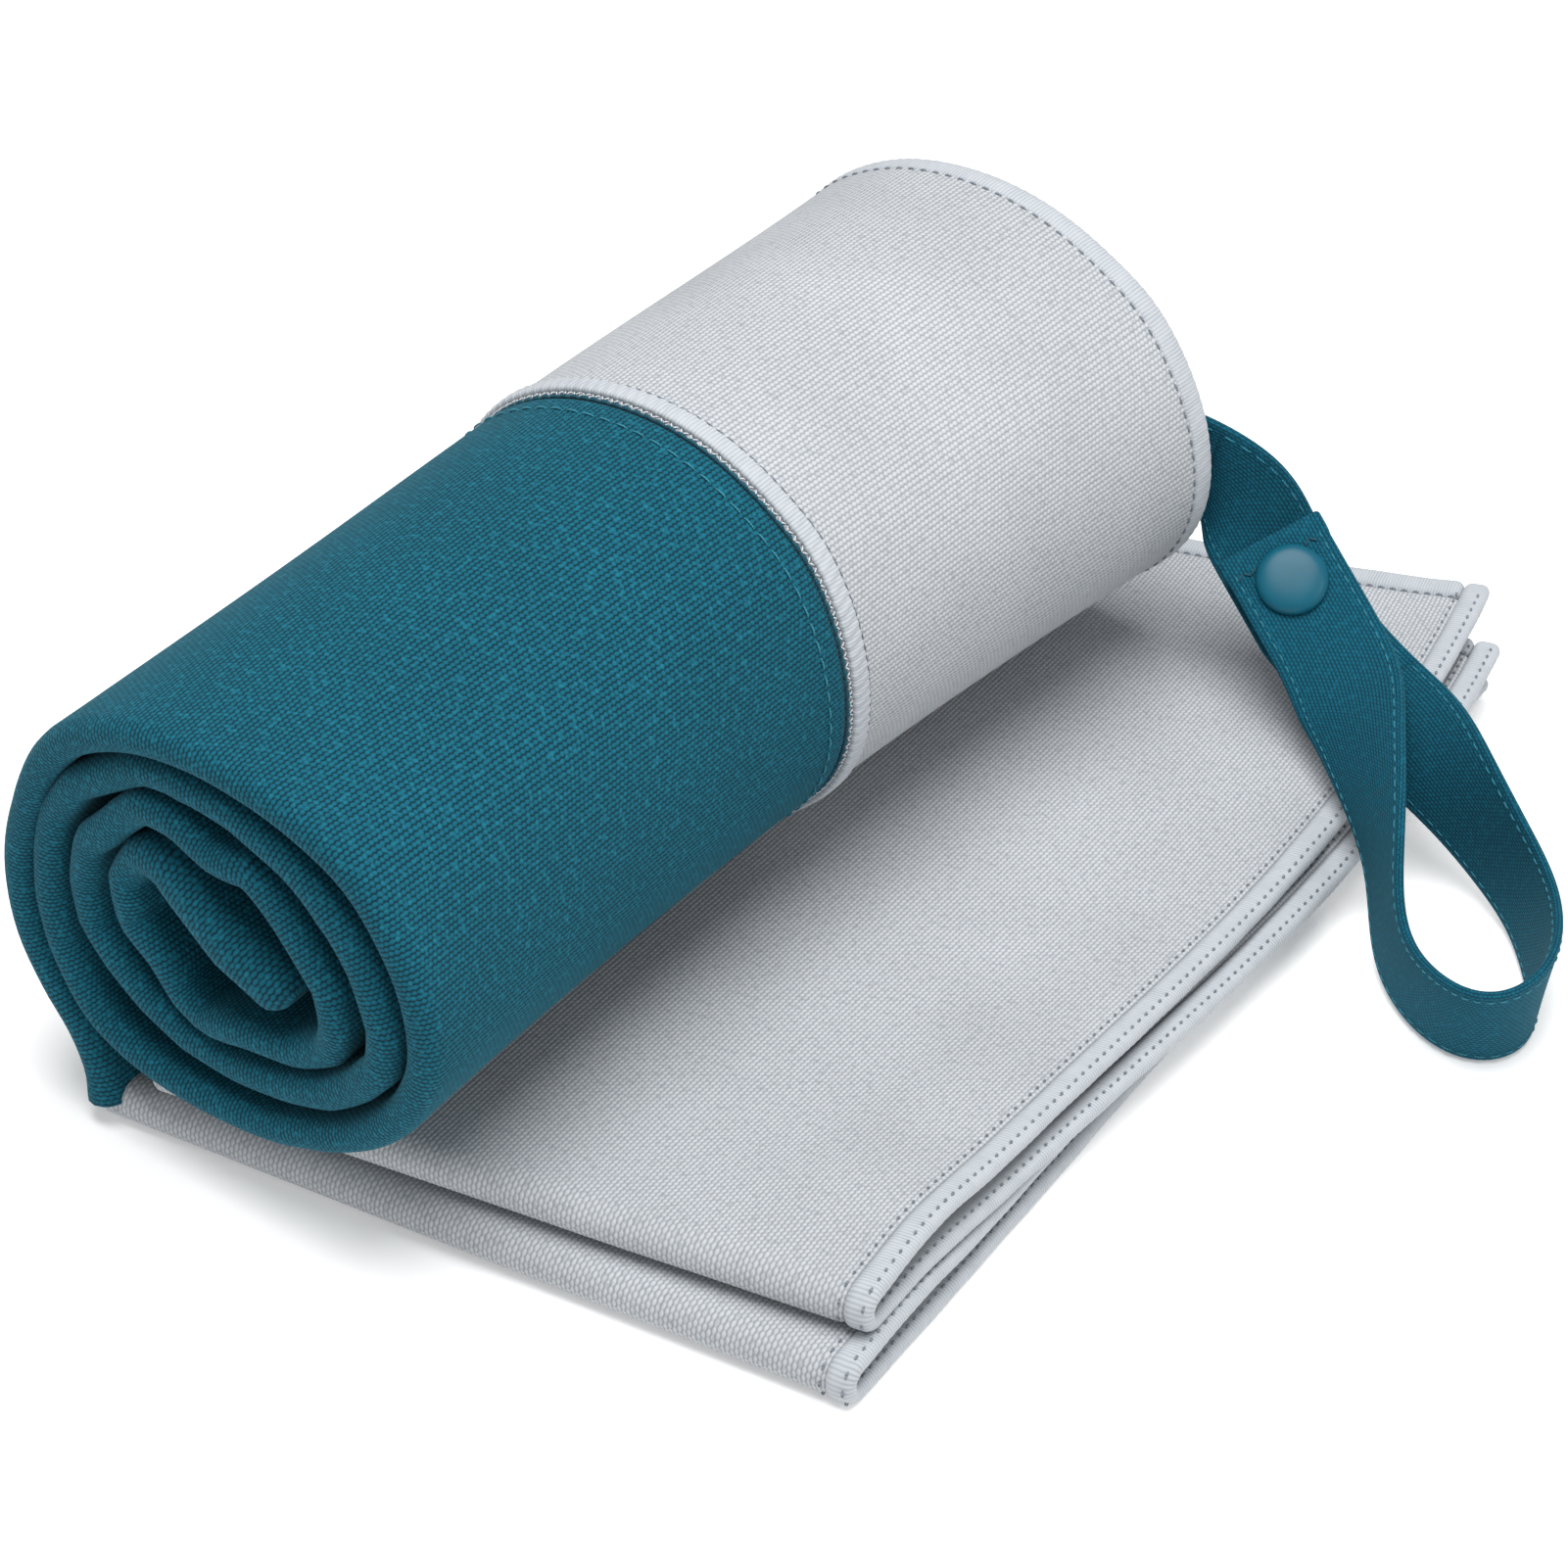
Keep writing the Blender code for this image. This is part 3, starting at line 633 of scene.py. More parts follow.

# %% [markdown]
# ## The roll's winding
# The towel is folded in half along its length before it is rolled, so each turn is a soft double
# layer with a folded, rounded edge at the near end. The winding isn't a perfect spiral, because
# hands rolled it: the outer turn is smooth, the turns inside it are flattened and cornered, and the
# last flap stands across the core. A formula would look too regular, so the line is drawn through
# listed points, from the foot on the table inwards. The spans between the inner points are pulled
# partly straight, which gives their corners.
# %% The winding
TURN_THICK = 5.9
SURFACE = TURN_THICK / 2    # a turn's face over its middle
WINDING = [(-28.5, 4.5), (-29.5, 10.5), (-32.5, 17), (-37.5, 23.5), (-41.5, 31), (-42.8, 40),
           (-41.5, 50), (-37.5, 61), (-31.5, 71), (-24, 78.5), (-13, 84), (0, 86.5), (12, 86),
           (23, 82.5), (31, 77.5), (37, 69), (40.3, 59), (40.6, 48.5), (37, 39), (30, 31),
           (21, 25), (10.5, 21), (0, 19), (-10, 18.5), (-19, 19.5),
           (-26.5, 22.5), (-31, 27.5), (-34.5, 34), (-36, 42), (-35, 51), (-32.5, 59), (-28, 67),
           (-20.5, 72.5), (-13, 77), (-3, 79.5), (7, 79), (17, 75.5), (25.5, 70.5), (31, 63),
           (34, 54), (33, 45.5), (28, 39.5), (21.5, 34), (13, 30.5), (2, 28), (-8, 28),
           (-16.5, 31), (-23, 35.5), (-27.5, 40.5), (-28.5, 48), (-26, 57.5), (-19, 64.5),
           (-12.5, 70), (-5, 71.3), (2, 69.5), (9, 69.7), (14, 65.5), (18.5, 61.5), (24, 56.5),
           (25.5, 50), (22, 43), (15, 38.5), (5, 36.5), (-3.5, 34), (-9, 36), (-13, 41),
           (-18.5, 46), (-19.3, 54), (-14.5, 60), (-8, 60.3), (4, 54.3), (15, 48.3)]
OUTER_POINTS = 26           # the outer turn's, which stays smooth
INNER_CRISP = 0.65


def upright(points):
    """x and z pairs as places with y at 0."""
    points = np.asarray(points, float)
    return np.stack([points[:, 0], np.zeros(len(points)), points[:, 1]], -1)


winding = Line(upright(WINDING), crisp=[0.0 if i < OUTER_POINTS else INNER_CRISP
                                        for i in range(len(WINDING) - 1)])
WOUND = winding.length
print("winding", round(WOUND), "mm of doubled cloth")

# %% [markdown]
# ## How the roll changes along its length
# The roll is fuller at the seam and at its far end than at the near end, and not by the same
# amount all round. So its reach from the core is given in eight directions at two more places, and
# a smooth closed curve joins the eight.
# %% The roll's reach
CORE = np.array([2.0, 50.0])
# How far the roll reaches from its core in eight directions, as a share of its near end: first
# to the right, then counted round over the top. One set is for the seam, one for the far end.
AT_SEAM = (0.92, 1.0, 1.105, 1.065, 1.01, 1.0, 1.0, 0.92)
AT_FAR_END = (1.075, 1.04, 1.095, 1.10, 1.04, 1.0, 1.0, 1.0)
PAST_END = 10.0             # mm past the far end, where the change along the roll stops


def smooth_share(shares, turn):
    """A smooth closed curve through eight even directions, read at an angle."""
    waves = np.fft.rfft(shares) / len(shares)
    total = np.full(turn.shape, waves[0].real)
    for k in (1, 2, 3):
        total += 2 * (waves[k] * np.exp(1j * k * turn)).real
    return total + waves[4].real * np.cos(4 * turn)


def reach_along(turn, mark):
    """The roll's reach at a distance along it: a smooth curve through its three sections."""
    s, seam, far = np.clip(mark, 0, ROLL_LENGTH + PAST_END), SEAM_AT, ROLL_LENGTH
    return ((s - seam) * (s - far) / (seam * far)
            + smooth_share(AT_SEAM, turn) * s * (far - s) / (seam * (far - seam))
            + smooth_share(AT_FAR_END, turn) * s * (s - seam) / (far * (far - seam)))


print("fullest at the seam by", round(max(AT_SEAM) - 1, 3), "of the near end")

# %% [markdown]
# ## The roll as a surface
# Soft cloth never lies quite even. A few sine waves of unlike lengths move the turns slightly, and
# near the open end they are sharper, as the doubled edge is pinched between its neighbours. The
# foot on the table stays still.
# %% The roll's surface and thickness
FOOT_STILL = 20.0           # mm of winding from the foot that stays where it was drawn
FOOT_FREES = 40.0           # mm over which the rest comes free of it
INNER_FROM, INNER_OVER = 250.0, 60.0    # mm of winding: where the inner turns begin, and how soon
RIM_FADES = 14.0            # mm along the roll over which the pinches fade
PINCH_OUTER, PINCH_INNER = 0.006, 0.034         # shares of the roll's reach
RESTS_BELOW = 22.0          # mm: the underside rests on the folds, so it doesn't swell down
EDGE_WANDER, EDGE_PINCH = 0.8, 0.9              # mm that the near edge moves along the roll
FLAP_LONG, FLAP_OVER, FLAP_FULLER = 36.0, 12.0, 3.2     # mm: the last flap is folded once more
FOOT_FULLER, FOOT_OVER = 1.6, 5.0                       # mm: the foot is a turned edge
GREY_PROUD = 0.4            # mm: the grey half is wound a little fuller


def roll_place(run, mark):
    """The middle of the winding: run follows it inwards, and mark is along the roll."""
    run, mark = np.broadcast_arrays(np.asarray(run, float), np.asarray(mark, float))
    place = winding.at(run)
    x, z = place[..., 0] - CORE[0], place[..., 2] - CORE[1]
    free = np.clip((run - FOOT_STILL) / FOOT_FREES, 0, 1)
    inner = np.clip((run - INNER_FROM) / INNER_OVER, 0, 1)
    soft = 0.005 * np.sin(run / 19 + mark / 27) + 0.004 * np.sin(run / 11.3 - mark / 17 + 1)
    near_edge = np.exp(-np.clip(mark, 0, None) / RIM_FADES)
    kinks = np.abs(np.sin(run / 9.7 + 0.4)) - 0.64 + 0.4 * np.sin(run / 5.1)
    crumple = (PINCH_OUTER + PINCH_INNER * inner) * near_edge * kinks
    swell = reach_along(np.arctan2(z, x), mark) + (soft + crumple) * free
    z = z * np.where(place[..., 2] < RESTS_BELOW, 1.0, swell)
    wander = EDGE_WANDER * np.sin(run / 23 + 0.6) + EDGE_PINCH * inner * kinks
    y = mark + near_edge * wander * free
    return np.stack([CORE[0] + x * swell, y, CORE[1] + z], -1)


def turn_thick(run, mark):
    """The thickness of a turn, fuller at the innermost flap and at the foot."""
    flap = np.clip((run - (WOUND - FLAP_LONG)) / FLAP_OVER, 0, 1)
    foot = np.exp(-np.clip(run, 0, None) / FOOT_OVER)
    return TURN_THICK + FLAP_FULLER * flap + FOOT_FULLER * foot


grey_place = fuller(roll_place, GREY_PROUD)

# %% [markdown]
# ## The two halves of the roll
# Two cloths of different colour meet halfway along the roll. Each half is one sheet that follows
# the whole winding. They overlap a little at the seam, so that its groove is never open, and the
# grey one stops just short of the far end, where the overlocked edge takes over.
# %% Teal half and grey half
TEAL_PAST_SEAM = 1.0
GREY_BEFORE_SEAM = 0.8
GREY_BEFORE_END = 1.2
teal_wrap = cloth("teal_wrap", TEAL_CLOTH, roll_place, (0.0, WOUND),
                  (0.0, SEAM_AT + TEAL_PAST_SEAM), turn_thick, rounded=(False, True))
grey_wrap = cloth("grey_wrap", GREY_CLOTH, grey_place, (0.0, WOUND),
                  (SEAM_AT - GREY_BEFORE_SEAM, ROLL_LENGTH - GREY_BEFORE_END), turn_thick,
                  rounded=(False, True))
for wrap, node, slot in ((teal_wrap, "teal_roll", "teal_cloth"),
                         (grey_wrap, "grey_roll", "grey_cloth")):
    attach(wrap, "towel")
    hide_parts(node)
print("wraps of", len(teal_wrap.data.vertices), "and", len(grey_wrap.data.vertices), "points")

# %% [markdown]
# ## Overlocked edges on the roll
# The edge of the grey cloth is overlocked and stands proud beside the teal. It is a low rounded
# bead with slanted ribs, one rib for each pass of thread, 1.7 mm apart. The real passes are closer,
# and these are as coarse as they need to be to show. The roll's far end has the same edge on every
# turn.
# %% Overlock on the seam and on the far end
RIB_GAP = 1.7
SEAM_BAND = 3.8             # the bead's width, and how far past the seam it starts
BAND_IN = 0.5
BAND_THIN, BAND_ROUND = 0.5, 1.7        # mm at the bead's edges, and how fast it rounds up
END_HEM = 4.8
END_HIDDEN = 10.0           # mm from the far end to where the hem's hidden part begins
HIDDEN_THINNER = 0.8        # that part is this much thinner, so it stays inside the grey cloth
SEAM_FROM = 14.0            # mm of winding from the foot: below this the seam isn't seen
seam_to = winding.nearest((26.0, 0.0, 28.0))


def ribs(run, mark, slant=0.35, depth=0.20):
    return depth * np.cos(2 * math.pi * (run + slant * mark) / RIB_GAP)


def seam_thick(run, mark):
    share = np.clip((mark - SEAM_AT - BAND_IN) / SEAM_BAND, 0.02, 0.98)
    return BAND_THIN + BAND_ROUND * np.sqrt(share * (1 - share)) + ribs(run, mark)


def end_thick(run, mark):
    share = (ROLL_LENGTH - mark) / END_HEM
    bead = np.sqrt(np.clip(share * (1 - share), 0, 1))
    return turn_thick(run, mark) + np.where(share > 1, -HIDDEN_THINNER, 0.1 + 0.9 * bead) + (
        ribs(run, mark, depth=0.08))


seam_place = fuller(roll_place, SURFACE + BAND_IN)
seam_bead = cloth("seam_overlock_bead", OVERLOCK, seam_place, (SEAM_FROM, seam_to),
                  (SEAM_AT + BAND_IN, SEAM_AT + BAND_IN + SEAM_BAND), seam_thick, run_gap=0.3,
                  mark_gap=0.5)
end_bead = cloth("roll_end_overlock", OVERLOCK, grey_place, (0.0, WOUND),
                 (ROLL_LENGTH - END_HIDDEN, ROLL_LENGTH), end_thick, run_gap=0.36, mark_gap=0.5,
                 rounded=(False, True))
for bead, node in ((seam_bead, "seam_overlock"), (end_bead, "roll_end_hem")):
    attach(bead, "towel")
    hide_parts(node)
print("seam overlocked over", round(seam_to - SEAM_FROM), "mm")

# %% [markdown]
# ## Stitch lines on the roll
# Five rows show on the outer turn: the teal edge's topstitch, a dark row deep in the groove, the
# zigzag where the overlock catches the teal, the row along the bead's far side, and the row inside
# the end hem. The dark row in the groove is painted shade: near-black teal beads where the groove
# is in shadow, with no thread there. The last two rows are real stitches in a grey made dark as
# painted shade of their needle holes.
# %% Stitch lines on the roll


def sewn(name, material, slot, *where, **shape):
    """A row of stitches that stays on the towel."""
    made = stitches(name, material, *where, **shape)
    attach(made, "towel")
    return made


sewn("teal_topstitch", TEAL_STITCH, "teal_cloth", roll_place,
     row(SEAM_FROM + 2, seam_to - 1, 2.9), SEAM_AT - 4.6, lift=SURFACE + 0.1, long=2.2, fat=0.36)
# Painted shade: near-black teal beads laid along the seam's groove stand for its shadow.
sewn("seam_groove_painted_shade", DEEP_STITCH_AND_GROOVE_SHADE, "overlock_thread", roll_place,
     row(SEAM_FROM + 1, seam_to - 1, 1.9), SEAM_AT + 0.05, lift=SURFACE - 0.5, long=2.4, fat=0.8)
zig_runs = row(SEAM_FROM + 1, seam_to - 1, 0.85)
sewn("seam_zigzag", PALE_STITCH, "overlock_thread", roll_place, zig_runs, SEAM_AT + 0.55,
     lift=SURFACE + 0.05, long=1.1, fat=0.26,
     lean=np.where(np.arange(len(zig_runs)) % 2, 0.8, 2.2))
# Painted shade: these two rows are real stitches, drawn dark grey for the shade in their needle
# holes.
sewn("seam_bead_stitch", SHADED_GREY_STITCH, "overlock_thread", grey_place,
     row(SEAM_FROM + 1, seam_to - 1, 2.0), SEAM_AT + SEAM_BAND + 0.75, lift=SURFACE, long=1.8,
     fat=0.24)
sewn("end_hem_stitch", SHADED_GREY_STITCH, "overlock_thread", grey_place,
     row(SEAM_FROM + 2, seam_to + 8, 2.2), ROLL_LENGTH - END_HEM - 0.5, lift=SURFACE, long=1.4,
     fat=0.4)
print("zigzag of", len(zig_runs), "stitches")

# %% [markdown]
# ## The folded end
# Under the roll the rest of the towel lies in two folds, so four plies show at the right-hand edge.
# Each fold is one sheet bent round its near edge, with both its ends at the far side. Run is
# measured from the middle of the bend: before it lies the under ply, after it the upper one. The
# corners of both are given one by one, because they lie askew. The plies close on each other past
# the bend, gape a little at its right-hand corner and stand up at the far tips.
# %% Sizes of the folds
PLY = 2.5
FOLD_HIGH = 7.8
FOLD_GAP = 0.3
HEM = 4.8
PINCH = 0.55                # how far each ply closes on its fellow past the bend
MOUTH = 0.5                 # how far the plies gape by the bend's right-hand corner
MOUTH_AT, MOUTH_WIDE = 15.0, 13.0
TIP_RISE = 2.6              # how far the far tips stand up
CURVE_PEAK = 27 / 4         # share squared times (1 - share) is at most 4/27
UPPER = {"near": ((-20.0, 4.5), (99.0, 33.2)), "far": ((-30.0, 196.0), (75.5, 236.0)),
         "bulge": 6.0, "base": FOLD_HIGH + FOLD_GAP, "skew": 7.5, "levels": 3}
LOWER = {"near": ((-29.5, 2.0), (101.0, 26.5)), "far": ((-26.5, 190.0), (81.0, 229.0)),
         "bulge": -0.5, "base": 0.0, "skew": 0.5, "levels": 1}
SETTLES_FROM, LIFTS_FROM, CLEAR_OVER = 42.0, 45.0, 25.0     # mm to the right: clear of the roll
print("four plies of", PLY, "mm in a pile of", 2 * FOLD_HIGH + FOLD_GAP)

# %% [markdown]
# ## One fold as a surface
# The bend is a half circle, and the two flat lengths go on from it. Each ply moves by what all the
# gaps under it close or open, which the levels of its fold count, so that no ply passes through
# the next.
# %% One fold as a surface


def settle(x, y, z):
    """How far the pile gives: a soft unevenness that grows with height and fades at the roll."""
    clear = np.clip((x - SETTLES_FROM) / CLEAR_OVER, 0, 1)
    swell = 0.45 * np.sin(x / 17 + y / 31) + 0.35 * np.sin(x / 9 - y / 23 + 1.2)
    return clear * swell * np.clip(z / 16, 0, 1)


def fold_surface(fold):
    """place(run, mark) of a fold, and its half length on the right-hand side, where its hem is,
    and its width."""
    bend = (FOLD_HIGH - PLY) / 2
    near_left, near_right = (np.array(p) for p in fold["near"])
    far_left, far_right = (np.array(p) for p in fold["far"])
    width = float(np.linalg.norm(near_right - near_left))
    quarter = math.pi * bend / 2
    full = float(np.linalg.norm(far_right - near_right)) - bend + quarter

    def place(run, mark):
        u = (mark / width)[..., None]
        near = near_left + (near_right - near_left) * u
        far = far_left + (far_right - far_left) * u
        way = far - near
        reach = np.linalg.norm(way, axis=-1, keepdims=True)
        way = way / reach
        length = reach - bend
        run = run[..., None]
        flat = np.clip(np.abs(run) - quarter, 0, None) * length / (full - quarter)
        turn = np.clip(run / bend, -math.pi / 2, math.pi / 2)
        under = (run < 0) * flat / length
        spot = near + way * (bend * (1 - np.cos(turn)) + flat)
        spot = spot + np.concatenate([u, -u], -1) * fold["skew"] * under
        share = flat / length
        bow = fold["bulge"] * u * CURVE_PEAK * share ** 2 * (1 - np.clip(share, 0, 1))
        x, y = (spot[..., 0] + bow[..., 0]), spot[..., 1]
        z = fold["base"] + PLY / 2 + bend * (1 + np.sin(turn[..., 0]))
        clear = np.clip((x - LIFTS_FROM) / CLEAR_OVER, 0, 1)
        along = share[..., 0]
        closing = PINCH * np.sin(math.pi * np.clip(along, 0, 1)) ** 1.5
        mouth = MOUTH * np.exp(-((flat[..., 0] - MOUTH_AT) / MOUTH_WIDE) ** 2) * u[..., 0] ** 4
        z = z + clear * (mouth - closing) * (fold["levels"] + np.sign(run[..., 0]))
        z = z + clear * TIP_RISE * along ** 3
        return np.stack([x, y, z + settle(x, y, z)], -1)
    return place, full, width


# %% [markdown]
# ## Hems of the folded end
# The right-hand edge and both far edges are overlocked. The bead is a little thicker than the cloth
# and runs on round the bend. One row of needle holes lies beside it on the cloth, and the
# right-hand one has a second row on the bead itself. Both rows show on both sides. Each hole is
# drawn as a short bead of grey thread made dark as painted shade.
# %% Hems and needle holes
HOLE_GAP, END_HOLE_GAP = 2.0, 2.2       # mm from one needle hole to the next
HOLES_BESIDE = 0.5          # mm from a bead to the row beside it
HOLES_FROM_EDGE = 1.3       # mm from the side's edge to the row on its bead
BEAD_PROUD = 0.28           # mm that the bead stands over the cloth there


def hem_thick(low, high, along_run):
    """The thickness of a bead between two lengths across it, with ribs along it."""
    def thick(run, mark):
        across, along = (mark, run) if along_run else (run, mark)
        share = np.clip((across - low) / (high - low), 0, 1)
        swell = 0.12 * np.sin(along / 3.1) * np.sin(along / 7.7 + 1)
        return (PLY + 0.1 + 0.7 * np.sqrt(share * (1 - share)) + swell
                + ribs(along + 0.5 * np.sin(along / 5.3), across, 0.1, 0.06))
    return thick


def fold_hems(fold_name, place, full, width):
    """The bead on a fold's side and those on its two ends."""
    inner = width - HEM
    side = cloth(fold_name + "_side_overlock", OVERLOCK, place, (-full, full), (inner, width),
                 hem_thick(inner, width, True), run_gap=0.36, mark_gap=0.7)
    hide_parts(fold_name + "_side_hem")
    hems = [side]
    for end_name, low, high in (("under_end", -full, -full + HEM), ("top_end", full - HEM, full)):
        bead = cloth(fold_name + "_" + end_name + "_overlock", OVERLOCK, place, (low, high),
                     (0.0, inner), hem_thick(low, high, False), run_gap=0.7, mark_gap=0.36,
                     rows_along_run=True)
        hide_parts(fold_name + "_" + end_name + "_hem")
        hems.append(bead)
    return hems


def fold_holes(fold_name, place, full, width):
    """The rows of needle holes along a fold's side hem and its two end hems, on both faces. Each
    hole is a short dark bead whose darkness is painted shade.
    """
    inner = width - HEM
    faces = (("inner", place, 1), ("outer", turned_over(place), -1))
    holes = []
    for face_name, face, way in faces:
        runs = way * row(-full + 3, full - 3, HOLE_GAP)
        for line, mark, lift in (("seam", inner - HOLES_BESIDE, PLY / 2),
                                 ("edge", width - HOLES_FROM_EDGE, PLY / 2 + BEAD_PROUD)):
            holes.append(stitches(f"{fold_name}_{face_name}_{line}_holes", SHADED_GREY_STITCH, face,
                                  runs, mark, lift, long=0.85, fat=0.46))
    across = row(2.0, inner - 1, END_HOLE_GAP)
    for end_name, run in (("under", -full + HEM + HOLES_BESIDE),
                          ("top", full - HEM - HOLES_BESIDE)):
        for face_name, face, way in faces:
            holes.append(stitches(f"{fold_name}_{end_name}_end_{face_name}_holes", SHADED_GREY_STITCH,
                                  face, np.full(len(across), way * run), across, PLY / 2,
                                  long=1.3, fat=0.42, lean=math.pi / 2))
    return holes


print("hems", HEM, "mm wide")

# %% [markdown]
# ## Make both folds
# The side bead is sewn over the cloth's edge, so the sheet goes a little way under it.
# %% Both folds
UNDER_SIDE_HEM = 0.5
for fold_name, fold in (("lower_fold", LOWER), ("upper_fold", UPPER)):
    place, full, width = fold_surface(fold)
    sheet = cloth(fold_name + "_cloth", GREY_CLOTH, place, (-full + HEM, full - HEM),
                  (0.0, width - HEM + UNDER_SIDE_HEM), even(PLY), run_gap=1.1, mark_gap=3.0,
                  rows_along_run=True)
    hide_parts(fold_name)
    hems = fold_hems(fold_name, place, full, width) + fold_holes(fold_name, place, full, width)
    for made in [sheet] + hems:
        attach(made, "towel")

# %% [markdown]
# ## The strap
# The strap is a flat tape of the teal cloth, 19 mm wide, topstitched near both edges. It is sewn to
# the roll's far end, comes round under the tab, stands on edge on the table in a loop, and returns
# to the snap. One line leads all of it, with the way its upper edge points carried along.
# %% The snap's place and the strap's route
TAPE = 19.0
TAPE_THICK = 1.4
FAR_FACE = ROLL_LENGTH + 1.0
SNAP_BASE = np.array((60.7, 194.1, 34.1))
snap_axis = np.array((0.35, -0.55, 0.76))
snap_axis /= np.linalg.norm(snap_axis)
snap_across = np.array((0.49, 0.77, 0.37))
snap_across -= snap_axis * (snap_axis @ snap_across)
snap_across /= np.linalg.norm(snap_across)
snap_along = np.cross(snap_across, snap_axis)
TAB_HIGH = 5.5              # the tab's middle over the base's, with the snap between them
TAB_END = 8.5
TAB_BEND = 14.15


def at_snap(along, high, across=0.0):
    return SNAP_BASE + snap_along * along + snap_axis * high + snap_across * across


def station(place, way):
    return tuple(place) + tuple(way)


UPRIGHT = (0.0, 0.0, 1.0)
ROUTE = [station((x, FAR_FACE, 53.0), UPRIGHT) for x in (16.3, 25.0, 32.0, 36.6)]
ROUTE += [(41.0, 193.0, 53.3, 0.05, -0.03, 1.0), (47.5, 194.8, 50.0, 0.42, 0.05, 0.9)]
ROUTE += [station(at_snap(along, 0.0), snap_across) for along in (-12, -6.6, 0.0, 6.6, 8.6)]
ROUTE += [(74.0, 191.6, 25.6, 0.45, 0.80, 0.37), (80.5, 190.8, 23.2, 0.44, 0.81, 0.37),
          (88.0, 188.2, 22.8, 0.50, 0.70, 0.50), (99.0, 183.4, 21.2, 0.52, 0.30, 0.80),
          (106.3, 182.4, 16.6, 0.50, 0.05, 0.86), (113.8, 180.6, 11.8, 0.47, -0.06, 0.88),
          (121.3, 177.2, 9.2, 0.42, -0.14, 0.90), (130.3, 166.9, 9.4, 0.29, -0.11, 0.95),
          (135.2, 159.0, 9.5, 0.20, -0.20, 0.96), (136.3, 150.4, 9.5, 0.10, -0.27, 0.96),
          (133.5, 145.2, 9.5, 0.10, -0.24, 0.97), (129.0, 143.4, 9.5, 0.22, -0.16, 0.96),
          (122.5, 145.2, 9.2, 0.38, -0.22, 0.90), (114.1, 149.9, 8.4, 0.52, -0.32, 0.79),
          (107.8, 155.0, 9.6, 0.56, -0.46, 0.69), (104.2, 159.4, 15.6, 0.55, -0.52, 0.66),
          (100.2, 163.0, 22.0, 0.66, -0.40, 0.65), (92.5, 170.4, 26.2, 0.76, -0.10, 0.65),
          (84.8, 178.6, 27.4, 0.76, 0.20, 0.60)]
ROUTE += [station(at_snap(along, TAB_HIGH), snap_across)
          for along in (18.3, 16.3, TAB_BEND, 6.0, 0.0, -TAB_END)]
print("route of", len(ROUTE), "stations")

# %% [markdown]
# ## Let the strap relax
# A line through listed stations has small bumps that a stiff tape wouldn't have. So its places are
# averaged with their neighbours many times. The parts that something holds flat stay put: the sewn
# end, the tape on both sides of the snap, and the tab.
# %% Relax the strap
HELD = 7.5                  # mm each side of the snap where the tape stays flat
SEWN_RUN, SEWN_TO = 35.0, 33.0          # mm of run, and how far to the right, for the sewn end
TAB_RUN, TAB_REACH = 20.0, 12.0         # mm of run from the tab's end, and from the snap


def relax(line, rounds=260, step=0.5):
    """Even out a line's turns, except at its ends and where the snap holds the tape flat."""
    places = line.at(np.arange(0, line.length + step, step))
    sewn_count, tab_count = int(SEWN_RUN / step), int(TAB_RUN / step)
    held = np.zeros(len(places), bool)
    for height in (0.0, TAB_HIGH):
        held |= np.linalg.norm(places[:, :3] - at_snap(0, height), axis=1) < HELD
    held[:sewn_count] |= places[:sewn_count, 0] < SEWN_TO
    held[[0, -1]] = True
    held |= (np.linalg.norm(places[:, :3] - at_snap(0, TAB_HIGH), axis=1) < TAB_REACH) & (
        np.arange(len(places)) > len(places) - tab_count)
    for _ in range(rounds):
        even_places = places.copy()
        even_places[1:-1] = places[1:-1] / 2 + (places[:-2] + places[2:]) / 4
        places = np.where(held[:, None], places, even_places)
    return Line(places, steps=1)


strap_line = relax(Line(ROUTE))
print("strap", round(strap_line.length), "mm long")

# %% [markdown]
# ## Where the strap bends
# The strap's hinges are looked up on its line, so that the cuts between its pieces follow them.
# %% The strap's surface and its hinges
TURNED_END, TURNED_OVER_RUN, TURNED_FULLER = 4.6, 1.2, 0.45     # mm: the tab's turned-under end


def strap_place(run, mark):
    """The tape's middle: run follows the route, and mark is across it, up from its middle."""
    led = strap_line.at(run)
    way = led[..., 3:] / np.linalg.norm(led[..., 3:], axis=-1, keepdims=True)
    return led[..., :3] + way * mark[..., None]


def tape_thick(run, mark):
    """The tab's end is turned under and sewn, so it is a little fuller there."""
    folded = np.clip((run - (strap_line.length - TURNED_END)) / TURNED_OVER_RUN, 0, 1)
    return TAPE_THICK + TURNED_FULLER * folded


strap_back = turned_over(strap_place)
swing_run = strap_line.nearest((34.45, FAR_FACE, 53.0))
neck_run = strap_line.nearest((43.5, 194.0, 52.4))
lift_run = strap_line.nearest(at_snap(-9.3, 0.0))
base_run = strap_line.nearest(at_snap(-5.0, 0.0))
hidden_run = strap_line.nearest((79.5, 191.0, 23.5))       # under the tab
tab_run = strap_line.nearest(at_snap(TAB_BEND, TAB_HIGH))
print("hinges at", round(swing_run), round(lift_run), round(tab_run), "mm along the strap")

# %% [markdown]
# ## Strap pieces across the hinges
# A tape that bends at a hinge would tear if each part of it rode on one body only. Each piece that
# crosses a hinge is given both bodies, but it only has its transform baked into its points and
# rides on neither. The cuts are where they don't show: between the hinges, and under the tab. The
# short length under the tab is a piece of its own, because it must stay behind when the tab opens.
# Topstitching goes with each piece in the same way.
# %% Cut the strap between its hinges
TOPSTITCH_INSET = 1.6
TOPSTITCH_GAP = 2.2


def carry(made, bodies, ends):
    """Ride on one body. Given two, only bake the transform into the points and ride on neither; the
    two runs of the strap are passed on but make no bend.
    """
    if len(bodies) == 1:
        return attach(made, bodies[0])
    start, end = (metres(strap_place(np.array([run]), np.zeros(1)))[0] for run in ends)
    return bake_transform(made, bodies[0], bodies[1], start=tuple(start), end=tuple(end))
